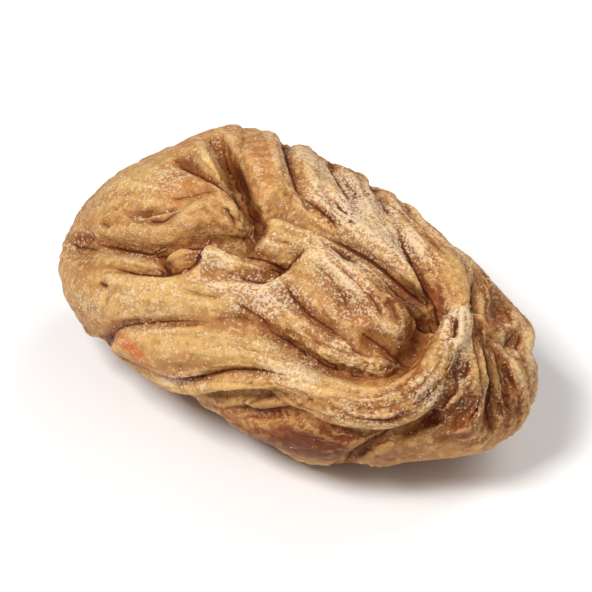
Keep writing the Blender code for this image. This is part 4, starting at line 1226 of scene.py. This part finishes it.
def sugar_tree(material):
    """Scatters crystals over a mesh, as many as its `sugar` calls for, most of them small."""
    tree = bpy.data.node_groups.new("sugar crystals", "GeometryNodeTree")
    tree.interface.new_socket("Geometry", in_out="INPUT", socket_type="NodeSocketGeometry")
    for name, value in SUGAR_SOCKETS.items():
        kind = "NodeSocketInt" if isinstance(value, int) else "NodeSocketFloat"
        tree.interface.new_socket(name, in_out="INPUT", socket_type=kind)
    tree.interface.new_socket("Geometry", in_out="OUTPUT", socket_type="NodeSocketGeometry")
    nodes = Tree(tree)
    given, back = tree.nodes.new("NodeGroupInput").outputs, tree.nodes.new("NodeGroupOutput").inputs

    def between(low, high, seed):
        inputs = {0: low, 1: high, "Seed": seed}
        return nodes.add("FunctionNodeRandomValue", inputs, data_type="FLOAT_VECTOR").outputs[0]

    share = nodes.add("GeometryNodeInputNamedAttribute", {"Name": "sugar"}).outputs[0]
    density = nodes.product(share, given["Density"])
    points = nodes.add(
        "GeometryNodeDistributePointsOnFaces",
        {"Mesh": given["Geometry"], "Density": density, "Seed": given["Seed"]},
    )
    block = nodes.add("GeometryNodeMeshCube", {"Size": (1, 1, 1)})
    turn = between((0, 0, 0), (6.3, 6.3, 6.3), 1)
    stretch = between((0.6, 0.6, 0.4), (1.0, 0.9, 0.8), 2)
    pick = nodes.add("FunctionNodeRandomValue", {2: 0.0, 3: 1.0, "Seed": 3}, data_type="FLOAT").outputs[1]
    reach = nodes.math("SUBTRACT", given["Largest"], given["Smallest"])
    size = nodes.math("MULTIPLY_ADD", nodes.math("POWER", pick, 3.0), reach, given["Smallest"])
    crystals = nodes.add(
        "GeometryNodeInstanceOnPoints",
        {"Points": points.outputs["Points"], "Instance": block.outputs["Mesh"], "Rotation": turn,
         "Scale": nodes.scaled(stretch, size)},
    )
    real = nodes.add("GeometryNodeRealizeInstances", {"Geometry": crystals.outputs[0]})
    painted = nodes.add("GeometryNodeSetMaterial", {"Geometry": real.outputs[0], "Material": material})
    nodes.feed(back[0], painted.outputs[0])
    return tree


def sugar_material():
    material, tree, shader = new_material("sugar crystal", SUGAR_SHADER)
    frost = tree.cloud(2600.0, 2.0)
    tree.feed(shader["Base Color"], tree.mix(tree.ramp(frost, 0.4, 0.65), SYRUP, SUGAR))
    tree.feed(shader["Roughness"], tree.ramp(frost, 0.3, 0.7, 0.4, 0.65))
    return material


def sugar_mesh(skin):
    """The crystals on this skin, as one plain mesh."""
    carrier = in_scene("sugar carrier", skin)
    modifier = carrier.modifiers.new("sugar", "NODES")
    modifier.node_group = sugar_tree(sugar_material())
    for item in modifier.node_group.interface.items_tree:
        if item.in_out == "INPUT" and item.name in SUGAR_SOCKETS:
            modifier[item.identifier] = SUGAR_SOCKETS[item.name]
    return mesh_of(carrier)


crystals = sugar_mesh(fruit_mesh)
crystals.name = "sugar crystals"
sugar_bloom = in_scene("sugar_bloom", crystals)
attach(sugar_bloom, "root")

# The table: a plain pale surface, lit by a large soft lamp from the upper left. A weaker one behind picks out
# the fruit's far edge, and a third opens up the shaded side.

TABLE_SIDE = 3.0
TABLE_SHADER = {"Base Color": (0.86, 0.855, 0.85, 1), "Roughness": 0.7}
CAMERA_DISTANCE = 0.75
FRAME_WIDTH = 61.5 * MM  # how much of the fruit's place the picture takes in
SENSOR = 36.0
LAMP_AIM = Vector((0, 0, 10 * MM))
Lamp = namedtuple("Lamp", "name turn height distance size power")
LAMPS = (
    Lamp("key lamp", -48, 58, 0.66, 0.22, 4.4),
    Lamp("rim lamp", 128, 50, 0.70, 0.4, 1.9),
    Lamp("fill lamp", 50, 50, 0.75, 0.6, 0.9),
)
ROOM_LIGHT = 0.22


def toward(turn, height):
    """The direction of a place this many degrees round from the camera and above the table."""
    a, e = VIEW_AZIMUTH + math.radians(turn), math.radians(height)
    return Vector((math.sin(a) * math.cos(e), -math.cos(a) * math.cos(e), math.sin(e)))


def aimed(name, data, place, target):
    obj = in_scene(name, data)
    obj.location = place
    obj.rotation_euler = (target - place).to_track_quat("-Z", "Y").to_euler()
    return obj


bpy.ops.mesh.primitive_plane_add(size=TABLE_SIDE)
table = bpy.context.object
table.name = "table"
table.data.materials.append(new_material("pale table", TABLE_SHADER)[0])

for lamp in LAMPS:
    light = bpy.data.lights.new(lamp.name, "AREA")
    light.size = lamp.size
    light.energy = lamp.power
    aimed(lamp.name, light, lamp.distance * toward(lamp.turn, lamp.height), LAMP_AIM)

world = bpy.data.worlds.new("pale room")
world.use_nodes = True
room = world.node_tree.nodes["Background"].inputs
room["Color"].default_value = (1, 1, 1, 1)
room["Strength"].default_value = ROOM_LIGHT
bpy.context.scene.world = world
bpy.context.scene.view_settings.view_transform = "Standard"

lens = bpy.data.cameras.new("camera")
lens.sensor_width = SENSOR
lens.lens = SENSOR * CAMERA_DISTANCE / FRAME_WIDTH
seen_from = egg_middle + CAMERA_DISTANCE * toward(0, math.degrees(VIEW_ELEVATION))
bpy.context.scene.camera = aimed("camera", lens, seen_from, egg_middle)
